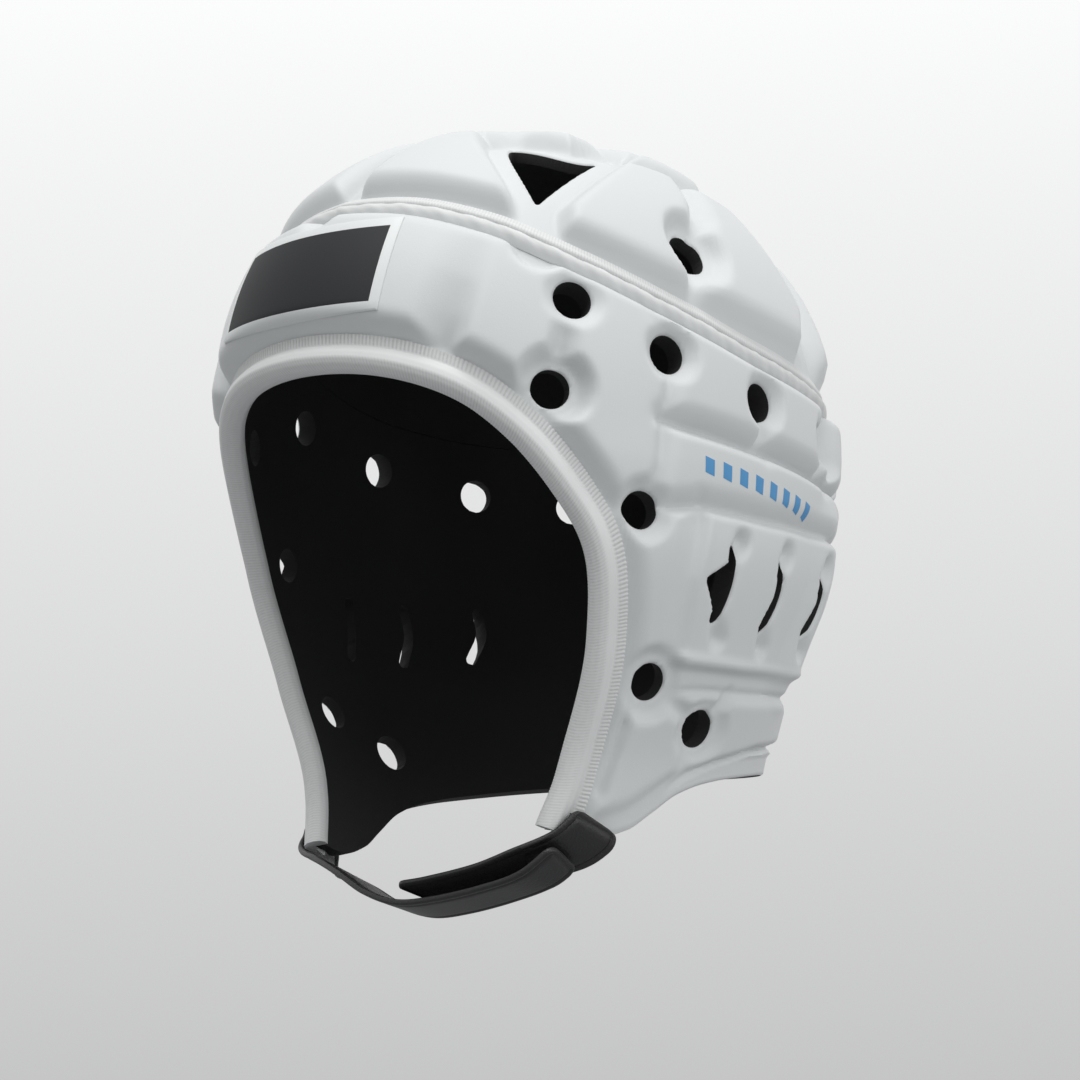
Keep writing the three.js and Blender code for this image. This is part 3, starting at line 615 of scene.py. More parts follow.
def new_object(name, points, faces, materials, indices=None, smooth_angle=40):
    """Object from points in millimetres and faces, with smooth shading up to an angle."""
    mesh = bpy.data.meshes.new(name)
    mesh.from_pydata((np.asarray(points) * MM).tolist(), [], [list(map(int, f)) for f in faces])
    for material in materials:
        mesh.materials.append(material)
    if indices is not None:
        mesh.polygons.foreach_set("material_index", np.asarray(indices, np.int32))
    mesh.polygons.foreach_set("use_smooth", np.ones(len(mesh.polygons), bool))
    mesh.set_sharp_from_angle(angle=math.radians(smooth_angle))
    mesh.update()
    piece = bpy.data.objects.new(name, mesh)
    bpy.context.scene.collection.objects.link(piece)
    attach(piece, "root")
    return piece


def weld(points, triangles):
    """Joins points that lie on each other, to a ten-thousandth of a millimetre."""
    keys = np.round(points * 1e4).astype(np.int64)
    _, first, new = np.unique(keys, axis=0, return_index=True, return_inverse=True)
    joined = new.reshape(-1)[triangles]
    a, b, c = joined.T
    return first, joined[(a != b) & (b != c) & (c != a)]


def smoothed(heights):
    """Heights on a grid that closes on itself along its columns, averaged with their neighbours."""
    ring = heights[:-1]
    ring = (np.roll(ring, 1, axis=0) + 2 * ring + np.roll(ring, -1, axis=0)) / 4
    heights = np.vstack([ring, ring[:1]])
    inner = (heights[:, :-2] + 2 * heights[:, 1:-1] + heights[:, 2:]) / 4
    return np.hstack([heights[:, :1], inner, heights[:, -1:]])


def foam_panel(name, places, thickness, edge, triangles, materials):
    """Closed foam wall: outer skin, inner lining and the cut walls between them."""
    first, triangles = weld(places, triangles)
    places, thickness, edge = places[first], thickness[first], edge[first]
    out = form_normal(places)
    radius = FOAM["edge_round"]
    near = np.clip(radius - edge, 0, radius)
    drop = radius - np.sqrt(radius**2 - near**2)
    outer = places + out * (thickness - drop)[:, None]
    total = len(places)
    rim = rim_edges(triangles)
    outside = triangles[:, ::-1]
    if looks_in(outer, outside, out[outside[:, 0]]):
        outside = triangles
        rim = rim[:, ::-1]
    walls = np.stack([rim[:, 0], rim[:, 1], rim[:, 1] + total, rim[:, 0] + total], 1)
    faces = outside.tolist() + (outside[:, ::-1] + total).tolist() + walls.tolist()
    indices = np.concatenate([np.zeros(len(outside)), np.full(len(outside), 2), np.ones(len(walls))])
    return new_object(name, np.vstack([outer, places]), faces, materials, indices, smooth_angle=50)


def sign_of_face(at, z):
    """Signed distance to the face edge: positive in the foam."""
    order = np.argsort(-face_half[:, 1])
    limit = np.interp(-z, -face_half[order, 1], np.abs(face_half[order, 0]))
    outside = (from_front(at) > limit) | (z > face_half[:, 1].max())
    away = np.full(len(at), FAR)
    places = form_point(at, z)
    near = from_front(at) < 90
    away[near] = nearest(places[near], face_line)[0]
    return np.where(outside, away, -away)


def hole_distance(places, skip=()):
    """Distance past the nearest hole or slot rim: negative inside one."""
    best = np.full(len(places), FAR)
    for side in (1, -1):
        turned = places * np.array([side, 1, 1])
        for name, hole in HOLES.items():
            if name in skip:
                continue
            centre = hole_place(name)
            axis = form_normal(centre)
            reach = turned - centre
            flat = reach - (reach @ axis)[:, None] * axis
            away = np.linalg.norm(flat, axis=1) - hole["diameter"] / 2
            away[np.abs(reach @ axis) > NEAR["hole"]] = FAR
            best = np.minimum(best, away)
        for name, slot in EAR_SLOTS.items():
            line = slot_line(slot)
            near = np.linalg.norm(turned - line[POINTS["slot"] // 2], axis=1) < NEAR["slot"]
            away = nearest(turned[near], line)[0] - EAR_SLOT_HALF
            if name == "ear_front" and side == 1:
                away = np.minimum(away, tear_distance(turned[near]))
            best[near] = np.minimum(best[near], away)
    return best


def tear_distance(places):
    """Distance past the torn edge of the front slot, seen from the side."""
    corners = form_point(*np.array([TEAR["top"], TEAR["point"], TEAR["bottom"]]).T)[:, 1:]
    return outline_distance(places[:, 1], places[:, 2], corners) - TEAR["round"]


def outline_distance(x, y, corners):
    """Distance to a closed outline in a plane: negative inside it."""
    away = np.full(len(x), np.inf)
    inside = np.zeros(len(x), bool)
    for a, b in zip(corners, np.roll(corners, -1, axis=0)):
        along = b - a
        share = np.clip(((x - a[0]) * along[0] + (y - a[1]) * along[1]) / (along @ along), 0, 1)
        away = np.minimum(away, np.hypot(x - a[0] - share * along[0], y - a[1] - share * along[1]))
        if a[1] != b[1]:
            crosses = (y < a[1]) != (y < b[1])
            inside ^= crosses & (x < a[0] + (y - a[1]) * along[0] / along[1])
    return np.where(inside, -away, away)


def bow_distance(x, y, start, end, bulge, along, out):
    """Distance past a vent's edge, seen from above: negative on its inner side."""
    span = np.linalg.norm(end - start)
    share = ((x - start[0]) * along[0] + (y - start[1]) * along[1]) / span
    share = np.clip(share, -VENT["overrun"], 1 + VENT["overrun"])
    height = (x - start[0]) * out[0] + (y - start[1]) * out[1]
    slope = bulge * 4 * (1 - 2 * share) / span
    return (height - bulge * 4 * share * (1 - share)) / np.sqrt(1 + slope**2)


def vent_distance(places):
    """Distance past the nearest vent's edge, seen from above: negative inside one."""
    best = np.full(len(places), FAR)
    radius = VENT["corner_round"]
    for side in (1, -1):
        x, y = places[:, 0] * side, places[:, 1]
        for vent in VENTS.values():
            past = radius + np.stack([bow_distance(x, y, *edge) for edge in vent_edges(vent)])
            rounded = np.linalg.norm(np.maximum(past, 0), axis=0)
            away = np.where((past > 0).any(axis=0), rounded, past.max(axis=0)) - radius
            away = np.maximum(away, outline_distance(x, y, vent_outline(vent)) - radius)
            best = np.minimum(best, away)
    return best


# Rows of the side panel's grid follow these lines, so that creases along them stay clean.
GUIDES = [
    [(0, -84), (45, -90), *bends("bar_top")],
    [(0, -115), (45, -122), (68.5, -126), *bends("bar_low")[1:]],
    [(0, -165), (76, -168.8), (97, -168.2), (134, -165.4), (180, -164.8)],
    [(0, -178), *bends("channel_low")],
]
# Length round each panel for a degree, length down the side panel against its height,
# and the length of the crown's rows from the top to the seam, with the share of it where they start.
GIRTH = {"side": 1.67, "crown": 1.5}
SIDE_SLANT = 1.08
CROWN_ROWS = {"length": 125, "start": 0.002}


def side_rows(at):
    """Heights of the grid rows at each angle, from the seam down to the lower edge."""
    lines = [seam_height(at) - SEAM["split"] / 2]
    for guide in GUIDES:
        rows = np.array(guide, float)
        lines.append(np.interp(from_front(at), rows[:, 0], rows[:, 1]))
    lines.append(lower_height(at))
    spans = [np.mean(high - low) for high, low in zip(lines[:-1], lines[1:])]
    heights = []
    for high, low, span in zip(lines[:-1], lines[1:], spans):
        count = max(2, int(round(span * SIDE_SLANT / STEP["panel"])))
        share = np.linspace(0, 1, count, endpoint=False)
        heights.append(high[:, None] + (low - high)[:, None] * share)
    heights.append(lines[-1][:, None])
    return np.hstack(heights)


def column_angles(length_a_degree):
    """Angles of grid columns all round, closer together on the finer side."""
    start, end = FINE["from"], FINE["to"]
    rest = 360 - end + start
    near = np.linspace(start, end, int((end - start) * length_a_degree / STEP["panel"]))
    far = np.linspace(end, end + rest, int(rest * length_a_degree / STEP["far"]))
    return np.concatenate([near, far[1:]])


def moulded(name, place, first, second, inside, rim, materials):
    """Foam panel over a grid of two measures, cut where inside isn't positive and rounded at its rim too."""
    shape = first.shape
    heights = foam_thickness(place(first, second).reshape(-1, 3)).reshape(shape)
    params = np.stack([first.ravel(), second.ravel(), smoothed(heights).ravel()], 1)
    params, triangles = clip_sheet(params, grid(*shape), inside(params[:, 0], params[:, 1]))
    first, second, thickness = params.T
    edge = np.maximum(np.minimum(inside(first, second), rim(first, second)), 0)
    return foam_panel(name, place(first, second), thickness, edge, triangles, materials)


def side_panel(materials):
    def inside(at, z):
        return np.minimum(sign_of_face(at, z), hole_distance(form_point(at, z)))

    def above_edge(at, z):
        return z - lower_height(at)

    angles = column_angles(GIRTH["side"])
    z = side_rows(angles)
    at = np.repeat(angles[:, None], z.shape[1], axis=1)
    return moulded("side_panel_foam", form_point, at, z, inside, above_edge, materials)


def crown_panel(materials):
    others = [name for name in HOLES if name != "crown_side"]

    def inside(x, y):
        places = dome_point(x, y)
        return np.minimum(vent_distance(places), hole_distance(places, others))

    def no_rim(x, y):
        return FAR

    rows = int(CROWN_ROWS["length"] / STEP["panel"])
    shares = np.linspace(CROWN_ROWS["start"], 1, rows)
    at, down = np.meshgrid(column_angles(GIRTH["crown"]), shares, indexing="ij")
    seam = form_point(at, seam_height(at) + SEAM["split"] / 2)
    x, y = seam[..., 0] * down, seam[..., 1] * down
    return moulded("crown_panel_foam", dome_point, x, y, inside, no_rim, materials)


def node(tree, kind, **values):
    """Shader node with settings and inputs given. An output that is given for an input is joined to it."""
    made = tree.nodes.new(kind)
    for key, value in values.items():
        if isinstance(value, bpy.types.NodeSocket):
            tree.links.new(value, made.inputs[key])
        elif key in made.inputs:
            made.inputs[key].default_value = value
        else:
            setattr(made, key, value)
    return made


def principled(name, colour, roughness, grain=None, more=None):
    """Material with a Principled shader. Grain is a bump's scale, detail, strength and depth in metres."""
    material = bpy.data.materials.new(name)
    material.use_nodes = True
    tree = material.node_tree
    shader = tree.nodes["Principled BSDF"]
    for key, value in {"Base Color": (*colour, 1), "Roughness": roughness, **(more or {})}.items():
        shader.inputs[key].default_value = value
    if grain:
        scale, detail, strength, depth = grain
        place = node(tree, "ShaderNodeTexCoord").outputs["Object"]
        noise = node(tree, "ShaderNodeTexNoise", Vector=place, Scale=scale, Detail=detail).outputs["Fac"]
        bump = node(tree, "ShaderNodeBump", Strength=strength, Distance=depth, Height=noise)
        tree.links.new(bump.outputs["Normal"], shader.inputs["Normal"])
    return material


gloss = {"Specular IOR Level": 0.35, "Sheen Weight": 0.12, "Sheen Roughness": 0.5}
skin = principled("foam_skin", (0.64, 0.66, 0.665), 0.5, (1900, 2, 0.10, 0.0003), gloss)
cut_foam = principled("foam_cut", (0.010, 0.010, 0.011), 0.9, (2200, 3, 0.5, 0.0003))
lining = principled("lining", (0.011, 0.011, 0.012), 0.85, (1500, 3, 0.5, 0.0003))
knit = principled("knit_tape", (0.68, 0.69, 0.69), 0.75, (2600, 2, 0.15, 0.0002), {"Sheen Weight": 0.2})
# Painted shade: the knit is drawn greyer between its ribs and in the hollows of its folds, by a share kept at
# each point.
painted_gap_shade = node(knit.node_tree, "ShaderNodeAttribute", attribute_name="painted_shade").outputs["Fac"]
rib, painted_shade_colour = (0.69, 0.70, 0.70, 1), (0.30, 0.31, 0.31, 1)
mix = node(knit.node_tree, "ShaderNodeMix", data_type="RGBA", Factor=painted_gap_shade, A=rib, B=painted_shade_colour)
knit_shader = knit.node_tree.nodes["Principled BSDF"]
knit.node_tree.links.new(mix.outputs["Result"], knit_shader.inputs["Base Color"])

side = side_panel([skin, cut_foam, lining])
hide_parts("side_panel")
crown = crown_panel([skin, cut_foam, lining])
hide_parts("crown_panel")


def even_path(at, z, step):
    """Even stations on the head form along angles and heights, with the length run to each."""
    places = form_point(at, z)
    run = run_along(places)
    stations = np.linspace(0, run[-1], int(run[-1] / step) + 1)
    return form_point(np.interp(stations, run, at), np.interp(stations, run, z)), stations


def path_frame(places, closed):
    """Across and outward directions at each station of a path on the head form."""
    if closed:
        ahead = np.roll(places, -1, axis=0) - np.roll(places, 1, axis=0)
    else:
        ahead = np.gradient(places, axis=0)
    out = form_normal(places)
    ahead -= np.einsum("ij,ij->i", ahead, out)[:, None] * out
    ahead /= np.linalg.norm(ahead, axis=1, keepdims=True)
    return np.cross(out, ahead), out


def even_section(rows, step):
    """Section points at an even step along straight lines between rows, closed."""
    knots = np.array(rows + rows[:1], float)
    pieces = []
    for a, b in zip(knots[:-1], knots[1:]):
        count = max(1, int(round(np.linalg.norm(b - a) / step)))
        pieces.append(a + (b - a) * np.linspace(0, 1, count, endpoint=False)[:, None])
    return np.vstack(pieces)


def sweep(name, places, run, section, relief, closed, materials):
    """Tape swept along a path; relief gives the rise and the painted shade for the run and the place across.
    """
    side_way, out_way = path_frame(places, closed)
    turn = np.roll(section, -1, axis=0) - np.roll(section, 1, axis=0)
    normal = np.stack([turn[:, 1], -turn[:, 0]], 1) / np.linalg.norm(turn, axis=1, keepdims=True)
    area = np.sum(section[:, 0] * np.roll(section[:, 1], -1) - np.roll(section[:, 0], -1) * section[:, 1])
    if area < 0:
        normal = -normal
    rise, painted_shade = relief(run[:, None], section[None, :, 0], section[None, :, 1])
    across = section[None, :, 0] + normal[None, :, 0] * rise
    height = section[None, :, 1] + normal[None, :, 1] * rise
    points = places[:, None] + side_way[:, None] * across[..., None] + out_way[:, None] * height[..., None]
    stations, corners = across.shape
    rows = np.arange(stations if closed else stations - 1)
    i, j = np.meshgrid(rows, np.arange(corners), indexing="ij")
    here, ahead = i * corners, (i + 1) % stations * corners
    next_j = (j + 1) % corners
    quads = np.stack([here + j, here + next_j, ahead + next_j, ahead + j], -1).reshape(-1, 4)
    if area < 0:
        quads = quads[:, ::-1]
    faces = quads.tolist()
    if not closed:
        first = list(range(corners))
        last = [(stations - 1) * corners + k for k in range(corners)]
        faces.append(first if area < 0 else first[::-1])
        faces.append(last[::-1] if area < 0 else last)
    piece = new_object(name, points.reshape(-1, 3), faces, materials, smooth_angle=60)
    # Painted shade at each point, which darkens the knit's colour in its gaps.
    values = piece.data.attributes.new("painted_shade", "FLOAT", "POINT")
    values.data.foreach_set("value", np.broadcast_to(painted_shade, across.shape).ravel().astype(np.float32))
    return piece


def pulse(turns, share):
    """Rounded thread profile repeating once a turn: 1 on the thread, 0 in the gap."""
    place = np.abs(np.mod(turns, 1) - 0.5) * 2
    return np.sqrt(np.clip(1 - (place / share) ** 2, 0, 1))


# Face binding: an overlocked lip on the foam with its stitches, and a ribbed tube over the foam's edge.
# The lip is painted darker between its stitch bars and the tube between its ribs, as painted shade; the lip's
# raised edge has less of it, a painted highlight.
FACE_TAPE = {
    "sway": 0.3, "sway_length": 9.0, "jitter": 0.15, "jitter_length": 3.7,
    "lip": 7.6, "lip_top": 4.2, "edge_half": 0.7, "edge_rise": 0.3, "edge_share": 0.9, "edge_light": 0.8,
    "tube_start": 4.4, "ribs_from": -1.0, "ribs_fade": 1.5, "ribs_above": -0.5,
    "bar_pitch": 1.15, "bar_share": 0.75, "bar_slant": 0.15, "bar_rise": 0.2, "painted_bar_shade": 0.34,
    "rib_pitch": 0.95, "rib_share": 0.9, "rib_slant": 0.45, "rib_rise": 0.1, "painted_rib_shade": 0.28,
}
FACE_TAPE_SECTION = [
    (-7.6, 4.0), (-7.5, 4.55), (-4.3, 4.7), (-3.5, 5.5), (-2.0, 6.8), (0.0, 7.3), (2.0, 6.5),
    (3.4, 4.8), (3.9, 2.6), (3.5, 0.4), (2.2, -0.8), (0.4, -0.9), (0.35, 4.0),
]
# Step of the points round the section of each tape.
SECTION_STEP = {"face": 0.7, "crown": 0.55, "piping": 0.6}


def face_tape_relief(run, across, height):
    tape = FACE_TAPE
    sway = run + tape["sway"] * np.sin(run / tape["sway_length"])
    sway = sway + tape["jitter"] * np.sin(run / tape["jitter_length"] + 1)
    bar_turns = sway / tape["bar_pitch"]
    on_lip = (across < -tape["tube_start"]) & (height > tape["lip_top"])
    bars = pulse(bar_turns + tape["bar_slant"] * across, tape["bar_share"])
    ribs = pulse((sway + tape["rib_slant"] * across) / tape["rib_pitch"], tape["rib_share"])
    ribbed = np.clip((across - tape["ribs_from"]) / tape["ribs_fade"], 0, 1) * (height > tape["ribs_above"])
    edge = np.clip(1 - np.abs(across + tape["lip"]) / tape["edge_half"], 0, 1)
    rise = np.where(on_lip, tape["bar_rise"] * bars, tape["rib_rise"] * ribs * ribbed)
    rise = rise + tape["edge_rise"] * edge * pulse(bar_turns, tape["edge_share"])
    # Painted shade between the bars, less of it on the lip's edge, and painted shade between the ribs.
    painted_bar_shade = tape["painted_bar_shade"] * (1 - bars) * (1 - tape["edge_light"] * edge)
    return rise, np.where(on_lip, painted_bar_shade, tape["painted_rib_shade"] * (1 - ribs) * ribbed)


dense_edge = catmull(face_rows, POINTS["face_tape"])
places, run = even_path(dense_edge[:, 0], dense_edge[:, 1], STEP["bead"])
section = even_section(FACE_TAPE_SECTION, SECTION_STEP["face"])
face_tape = sweep("face_binding_tape", places, run, section, face_tape_relief, False, [knit])
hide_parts("face_binding")

# Crown seam: a ribbed tape above and a rolled piping below.
SEAM_FOOT = FOAM["flange"] + SEAM["clear"]
# The tape's top is painted darker between its ribs, as painted shade, starting a little way across it.
CROWN_TAPE = {
    "rib_pitch": 0.95, "rib_share": 0.9, "slant": 0.1, "rise": 0.12, "foot": 4.5,
    "painted_shade": 0.3, "painted_shade_from": 0.2, "painted_shade_fade": 0.8,
}
CROWN_TAPE_SECTION = [
    (0.1, SEAM_FOOT), (4.6, SEAM_FOOT), (4.5, 5.0), (2.6, 5.5), (1.6, 6.3), (0.6, 6.3), (0.1, 5.6),
]
# Wide and narrow folds of the piping: each has a length, and a sway that comes and goes along it.
# The piping is painted darker in the hollows of its folds, as painted shade.
PIPING = {
    "slant": 1.6, "rise": 0.10, "painted_shade": 0.06, "foot": 4.6, "foot_fade": 1.0,
    "wide": 1.9, "wide_sway": 1.3, "wide_along": 23,
    "narrow": 0.83, "narrow_sway": 2, "narrow_along": 31, "narrow_share": 0.6,
}
PIPING_SECTION = [
    (-4.9, SEAM_FOOT), (-0.05, SEAM_FOOT), (-0.05, 5.4), (-0.7, 6.6),
    (-1.9, 7.2), (-3.2, 6.9), (-4.2, 5.9), (-4.7, 4.9),
]


def crown_tape_relief(run, across, height):
    tape = CROWN_TAPE
    ribs = pulse(run / tape["rib_pitch"] + tape["slant"] * across, tape["rib_share"])
    strength = np.clip((across - tape["painted_shade_from"]) / tape["painted_shade_fade"], 0, 1)
    top = height > tape["foot"]
    # Rise of the ribs, and painted shade between them.
    return tape["rise"] * ribs * top, tape["painted_shade"] * (1 - ribs) * strength * top


def piping_relief(run, across, height):
    pipe = PIPING
    slant = run + pipe["slant"] * across
    wide = np.sin(slant / pipe["wide"] + pipe["wide_sway"] * np.sin(run / pipe["wide_along"]))
    narrow = np.sin(slant / pipe["narrow"] + pipe["narrow_sway"] * np.sin(run / pipe["narrow_along"]))
    folds = wide + pipe["narrow_share"] * narrow
    strength = np.clip((height - pipe["foot"]) / pipe["foot_fade"], 0, 1)
    # Rise of the folds, and painted shade in their hollows.
    return pipe["rise"] * folds * strength, pipe["painted_shade"] * (1 - folds) * strength


ring_angles = np.linspace(-180, 180, POINTS["seam_tape"] + 1)
places, run = even_path(ring_angles, seam_height(ring_angles), STEP["bead"])
places, run = places[:-1], run[:-1]
section = even_section(CROWN_TAPE_SECTION, SECTION_STEP["crown"])
crown_tape = sweep("crown_edge_tape", places, run, section, crown_tape_relief, True, [knit])
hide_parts("crown_edge_binding")
section = even_section(PIPING_SECTION, SECTION_STEP["piping"])
piping = sweep("panel_edge_piping", places, run, section, piping_relief, True, [knit])
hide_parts("panel_edge_binding")


# At its edge a film has a share of its lift, and its underside clears the foam.
FILM = {"edge_share": 0.55, "clear": 0.02}


def film(at, z, lift):
    """Thin film on the foam over a grid of angles and heights, as a closed sheet."""
    places = form_point(at.ravel(), z.ravel())
    out = form_normal(places)
    base = foam_thickness(places)
    edge = np.ones(at.shape, bool)
    edge[1:-1, 1:-1] = False
    top = places + out * (base + np.where(edge.ravel(), lift * FILM["edge_share"], lift))[:, None]
    under = places + out * (base + FILM["clear"])[:, None]
    rows = at.shape[1]
    a = first_corners(*at.shape)
    quads = np.stack([a, a + 1, a + rows + 1, a + rows], 1)
    return close_sheet(top, under, quads, out[a])


# Forehead label: a dark satin field with a pale margin, narrower at its lower edge.
# The margins, and the rounding of the film's edges, are shares of half its width and of its height.
LABEL = {
    "top_at": 23.6, "bottom_at": 21.6, "top": -41.6, "bottom": -69.4, "lift": 0.5, "grid": (49, 17),
    "side_margin": 0.092, "margin": 0.094, "side_round": 0.015, "round": 0.02,
}
satin = {"Specular IOR Level": 0.3}
field = principled("label_field", (0.016, 0.017, 0.019), 0.6, (900, 2, 0.05, 0.0003), satin)
margin = principled("label_margin", (0.68, 0.70, 0.70), 0.42)
field_share = 1 - LABEL["side_margin"]
inner = 1 - LABEL["side_round"]
columns = np.concatenate([[-1, -inner], np.linspace(-field_share, field_share, LABEL["grid"][0]), [inner, 1]])
shares = np.linspace(LABEL["margin"], 1 - LABEL["margin"], LABEL["grid"][1])
rows = np.concatenate([[0, LABEL["round"]], shares, [1 - LABEL["round"], 1]])
u, v = np.meshgrid(columns, rows, indexing="ij")
label_at = u * (LABEL["top_at"] + (LABEL["bottom_at"] - LABEL["top_at"]) * v)
label_z = LABEL["top"] + (LABEL["bottom"] - LABEL["top"]) * v
points, top, rest = film(label_at, label_z, LABEL["lift"])
in_field = np.zeros((len(columns) - 1, len(rows) - 1))
in_field[2:-2, 2:-2] = 1
indices = np.concatenate([in_field.ravel(), np.zeros(len(rest))])
faces = top.tolist() + rest.tolist()
label = new_object("forehead_label", points, faces, [margin, field], indices, smooth_angle=60)
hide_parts("forehead_patch")


# Print on each bar over the ear: a row of plain dashes, each of them slanted.
DASHES = {
    "ends": [(81.5, -111.2), (109.5, -118.4)], "count": 8,
    "width": 2.9, "height": 5.0, "slant": 0.5, "lift": 0.1, "length_a_degree": 1.45, "grid": (5, 9),
}
ink = principled("print_ink", (0.075, 0.285, 0.56), 0.5)


def dash_row(name, side):
    """Thin printed dashes on the bar, left or right."""
    points = []
    faces = []
    (at_from, z_from), (at_to, z_to) = DASHES["ends"]
    half_at = DASHES["width"] / 2 / DASHES["length_a_degree"]
    u, v = np.meshgrid(*(np.linspace(-1, 1, count) for count in DASHES["grid"]), indexing="ij")
    for share in np.linspace(0, 1, DASHES["count"]):
        at = at_from + share * (at_to - at_from)
        z = z_from + share * (z_to - z_from)
        dash_z = z - DASHES["slant"] * u + v * DASHES["height"] / 2
        dash, top, rest = film(side * (at + u * half_at), dash_z, DASHES["lift"])
        faces += (np.vstack([top, rest]) + len(points)).tolist()
        points += dash.tolist()
    new_object(name, points, faces, [ink])


for name, turn in {"left_bar_print": 1, "right_bar_print": -1}.items():
    dash_row(name, turn)


def ribbon_frame(rows, size, step):
    """Even stations along a strap's middle line with its across and outward directions and half width."""
    length = np.linalg.norm(np.diff(catmull(rows, POINTS["strap"]), axis=0), axis=1).sum()
    places = catmull(rows, int(length / step) + 1)
    ahead = np.gradient(places, axis=0)
    ahead /= np.linalg.norm(ahead, axis=1, keepdims=True)
    stops, lefts, ups = np.array(size["lean"]).T
    left = np.interp(places[:, 0], stops, lefts)
    up = np.interp(places[:, 0], stops, ups)
    across = np.stack([left, np.full(len(places), LEAN_AHEAD), up], 1)
    across -= np.einsum("ij,ij->i", across, ahead)[:, None] * ahead
    across /= np.linalg.norm(across, axis=1, keepdims=True)
    run = np.linspace(0, length, len(places))
    from_end = np.minimum(run, length - run)
    short = np.clip(1 - from_end / size["end_radius"], 0, 1)
    half = size["width"] / 2 - size["end_radius"] * (1 - np.sqrt(np.clip(1 - short**2, 0, 1)))
    return places, across, np.cross(ahead, across), half, run


# Sewn line along a strap's edges: its distance from them, its depth and half its width.
SEWN = {"inset": 2.1, "depth": 0.5, "half": 0.5}
# Edge of a strap: the width that is rounded, the share of the thickness left, and how far in an end is.
STRAP_EDGE = {"round": 0.9, "thin": 0.35, "end": 0.3}
# Places across a strap, as distances in from its edges, and the step along it.
STRAP_COLUMNS = [0, 0.1, 0.3, 0.6, 1.0, 1.5, 1.8, 2.1, 2.4, 2.7, 3.3, 4.5, 6.5, 8.5]
STRAP_STEP = 0.5


def ribbon(name, rows, size, materials):
    """Strap with rounded edges and a sunk sewn line along them, and pile from a length on if it has any."""
    places, across, face, half, run = ribbon_frame(rows, size, STRAP_STEP)
    inside = np.array(STRAP_COLUMNS) / (size["width"] / 2)
    shares = np.concatenate([inside - 1, 1 - inside[::-1]])
    offset = shares[None, :] * half[:, None]
    from_end = np.minimum(run, run[-1] - run)
    inward = np.minimum(half[:, None] - np.abs(offset), from_end[:, None] + STRAP_EDGE["end"])
    edge = np.clip(1 - inward / STRAP_EDGE["round"], 0, 1)
    full = STRAP_EDGE["thin"] + (1 - STRAP_EDGE["thin"]) * np.sqrt(np.clip(1 - edge**2, 0, 1))
    sunk = SEWN["depth"] * np.exp(-(((inward - SEWN["inset"]) / SEWN["half"]) ** 2))
    level = size["thickness"] / 2 * full - sunk
    middle = places[:, None] + across[:, None] * offset[..., None]
    above = (middle + face[:, None] * level[..., None]).reshape(-1, 3)
    below = (middle - face[:, None] * level[..., None]).reshape(-1, 3)
    columns = len(shares)
    a = first_corners(*offset.shape)
    quads = np.stack([a, a + columns, a + columns + 1, a + 1], 1)
    points, top, rest = close_sheet(above, below, quads, np.repeat(face[:-1], columns - 1, axis=0))
    indices = np.zeros(len(top) + len(rest), int)
    if "pile_from" in size:
        indices[: 2 * len(a)] = np.tile(run[a // columns] > size["pile_from"], 2)
    return new_object(name, points, top.tolist() + rest.tolist(), materials, indices, smooth_angle=50)


leatherette = principled("leatherette", (0.012, 0.012, 0.013), 0.42, (1600, 3, 0.5, 0.0004))
pile = principled("loop_pile", (0.008, 0.008, 0.009), 0.95, (1300, 3, 0.5, 0.0012))
strap = ribbon("chin_strap_band", STRAP_LINE, STRAP, [leatherette])
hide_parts("chin_strap")
tab = ribbon("strap_tab_band", TAB_LINE, TAB, [leatherette, pile])
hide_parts("strap_tab")

azimuth = math.radians(VIEW["azimuth"])
elevation = math.radians(VIEW["elevation"])
back = Vector((
    math.sin(azimuth) * math.cos(elevation),
    -math.cos(azimuth) * math.cos(elevation),
    math.sin(elevation),
))
camera_data = bpy.data.cameras.new("camera")
camera_data.lens = LENS["mm"]
camera_data.sensor_width = LENS["sensor"]
camera_data.shift_x = LENS["shift_x"]
camera_data.shift_y = LENS["shift_y"]
camera = bpy.data.objects.new("camera", camera_data)
camera.location = (Vector(VIEW["target"]) + back * VIEW["distance"]) * MM
turn = (-back).to_track_quat("-Z", "Y").to_matrix()
camera.rotation_euler = (turn @ Matrix.Rotation(math.radians(VIEW["roll"]), 3, "Z")).to_euler()
bpy.context.scene.collection.objects.link(camera)
bpy.context.scene.camera = camera

# Studio: a pale floor, a backdrop of light that is brighter towards the top, and soft lights.
FLOOR = {"z": -400.0, "half": 1500.0}
square = [(-1, -1), (1, -1), (1, 1), (-1, 1)]
corners = [(x * FLOOR["half"] * MM, y * FLOOR["half"] * MM, FLOOR["z"] * MM) for x, y in square]
floor_mesh = bpy.data.meshes.new("floor")
floor_mesh.from_pydata(corners, [], [(0, 1, 2, 3)])
floor_mesh.materials.append(principled("floor", (0.32, 0.325, 0.33), 0.9))
floor = bpy.data.objects.new("floor", floor_mesh)
bpy.context.scene.collection.objects.link(floor)

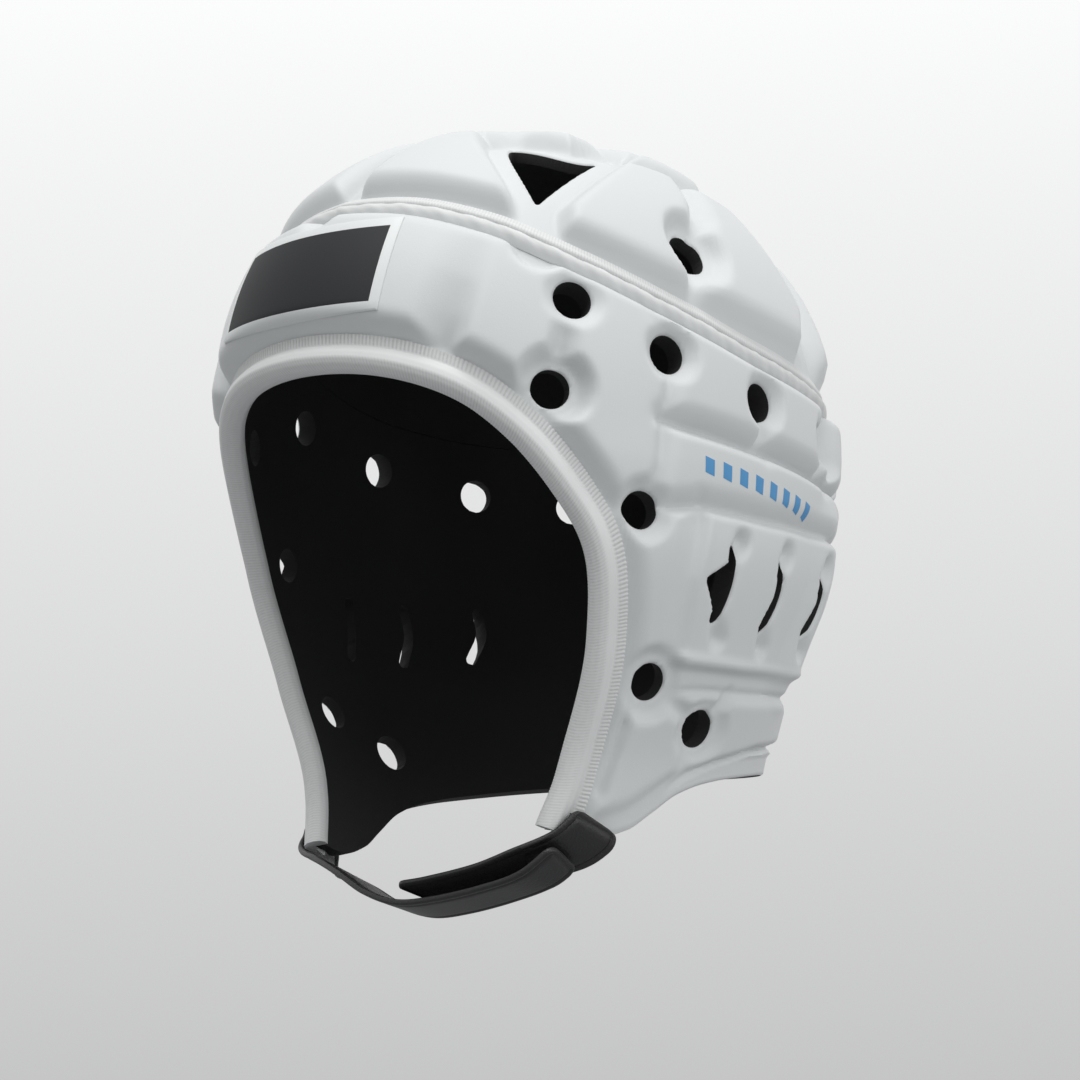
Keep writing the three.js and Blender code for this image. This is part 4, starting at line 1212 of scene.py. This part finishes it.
# Elevation in degrees and grey of the backdrop there, with its tint.
BACKDROP = [
    (-90, 0.16), (-14, 0.32), (-0.5, 0.555), (4.3, 0.655), (9.7, 0.775),
    (14.3, 0.88), (18.5, 0.985), (30, 0.8), (90, 0.75),
]
BACKDROP_TINT = (1, 1.004, 1.006)
world = bpy.data.worlds.new("studio")
world.use_nodes = True
tree = world.node_tree
background = tree.nodes["Background"]
place = node(tree, "ShaderNodeTexCoord").outputs["Generated"]
height = node(tree, "ShaderNodeSeparateXYZ", Vector=place).outputs["Z"]
level = node(tree, "ShaderNodeMapRange", Value=height, **{"From Min": -1, "From Max": 1})
ramp = node(tree, "ShaderNodeValToRGB", Fac=level.outputs["Result"])
elements = ramp.color_ramp.elements
for index, (degrees, grey) in enumerate(BACKDROP):
    position = (math.sin(math.radians(degrees)) + 1) / 2
    element = elements[index] if index < 2 else elements.new(position)
    element.position = position
for element, (degrees, grey) in zip(elements, BACKDROP):
    element.color = (*(grey * tint for tint in BACKDROP_TINT), 1)
tree.links.new(ramp.outputs["Color"], background.inputs["Color"])
# The room is dimmer on the viewer's side, so that the lamps shape the pads.
ROOM = {"From Min": -0.4, "From Max": 0.6, "To Min": 1.0, "To Max": 0.58}
toward = node(tree, "ShaderNodeVectorMath", operation="DOT_PRODUCT")
toward.inputs[1].default_value = (math.sin(azimuth), -math.cos(azimuth), 0)
tree.links.new(place, toward.inputs[0])
dimmed = node(tree, "ShaderNodeMapRange", Value=toward.outputs["Value"], **ROOM)
tree.links.new(dimmed.outputs["Result"], background.inputs["Strength"])
bpy.context.scene.world = world

# Lamps and the place that they shine at, in metres.
LAMP_AIM = (0, 0, -0.12)
LIGHTS = {
    "overhead": {"at": (0.2, -0.5, 1.2), "size": 0.9, "watts": 12.6},
    "side": {"at": (1.3, -0.05, 0.3), "size": 0.9, "watts": 6.0},
}
for name, light in LIGHTS.items():
    data = bpy.data.lights.new(name, "AREA")
    data.energy = light["watts"]
    data.size = light["size"]
    lamp = bpy.data.objects.new(name, data)
    lamp.location = light["at"]
    lamp.rotation_euler = (Vector(LAMP_AIM) - lamp.location).to_track_quat("-Z", "Y").to_euler()
    bpy.context.scene.collection.objects.link(lamp)
bpy.context.scene.view_settings.view_transform = "Standard"
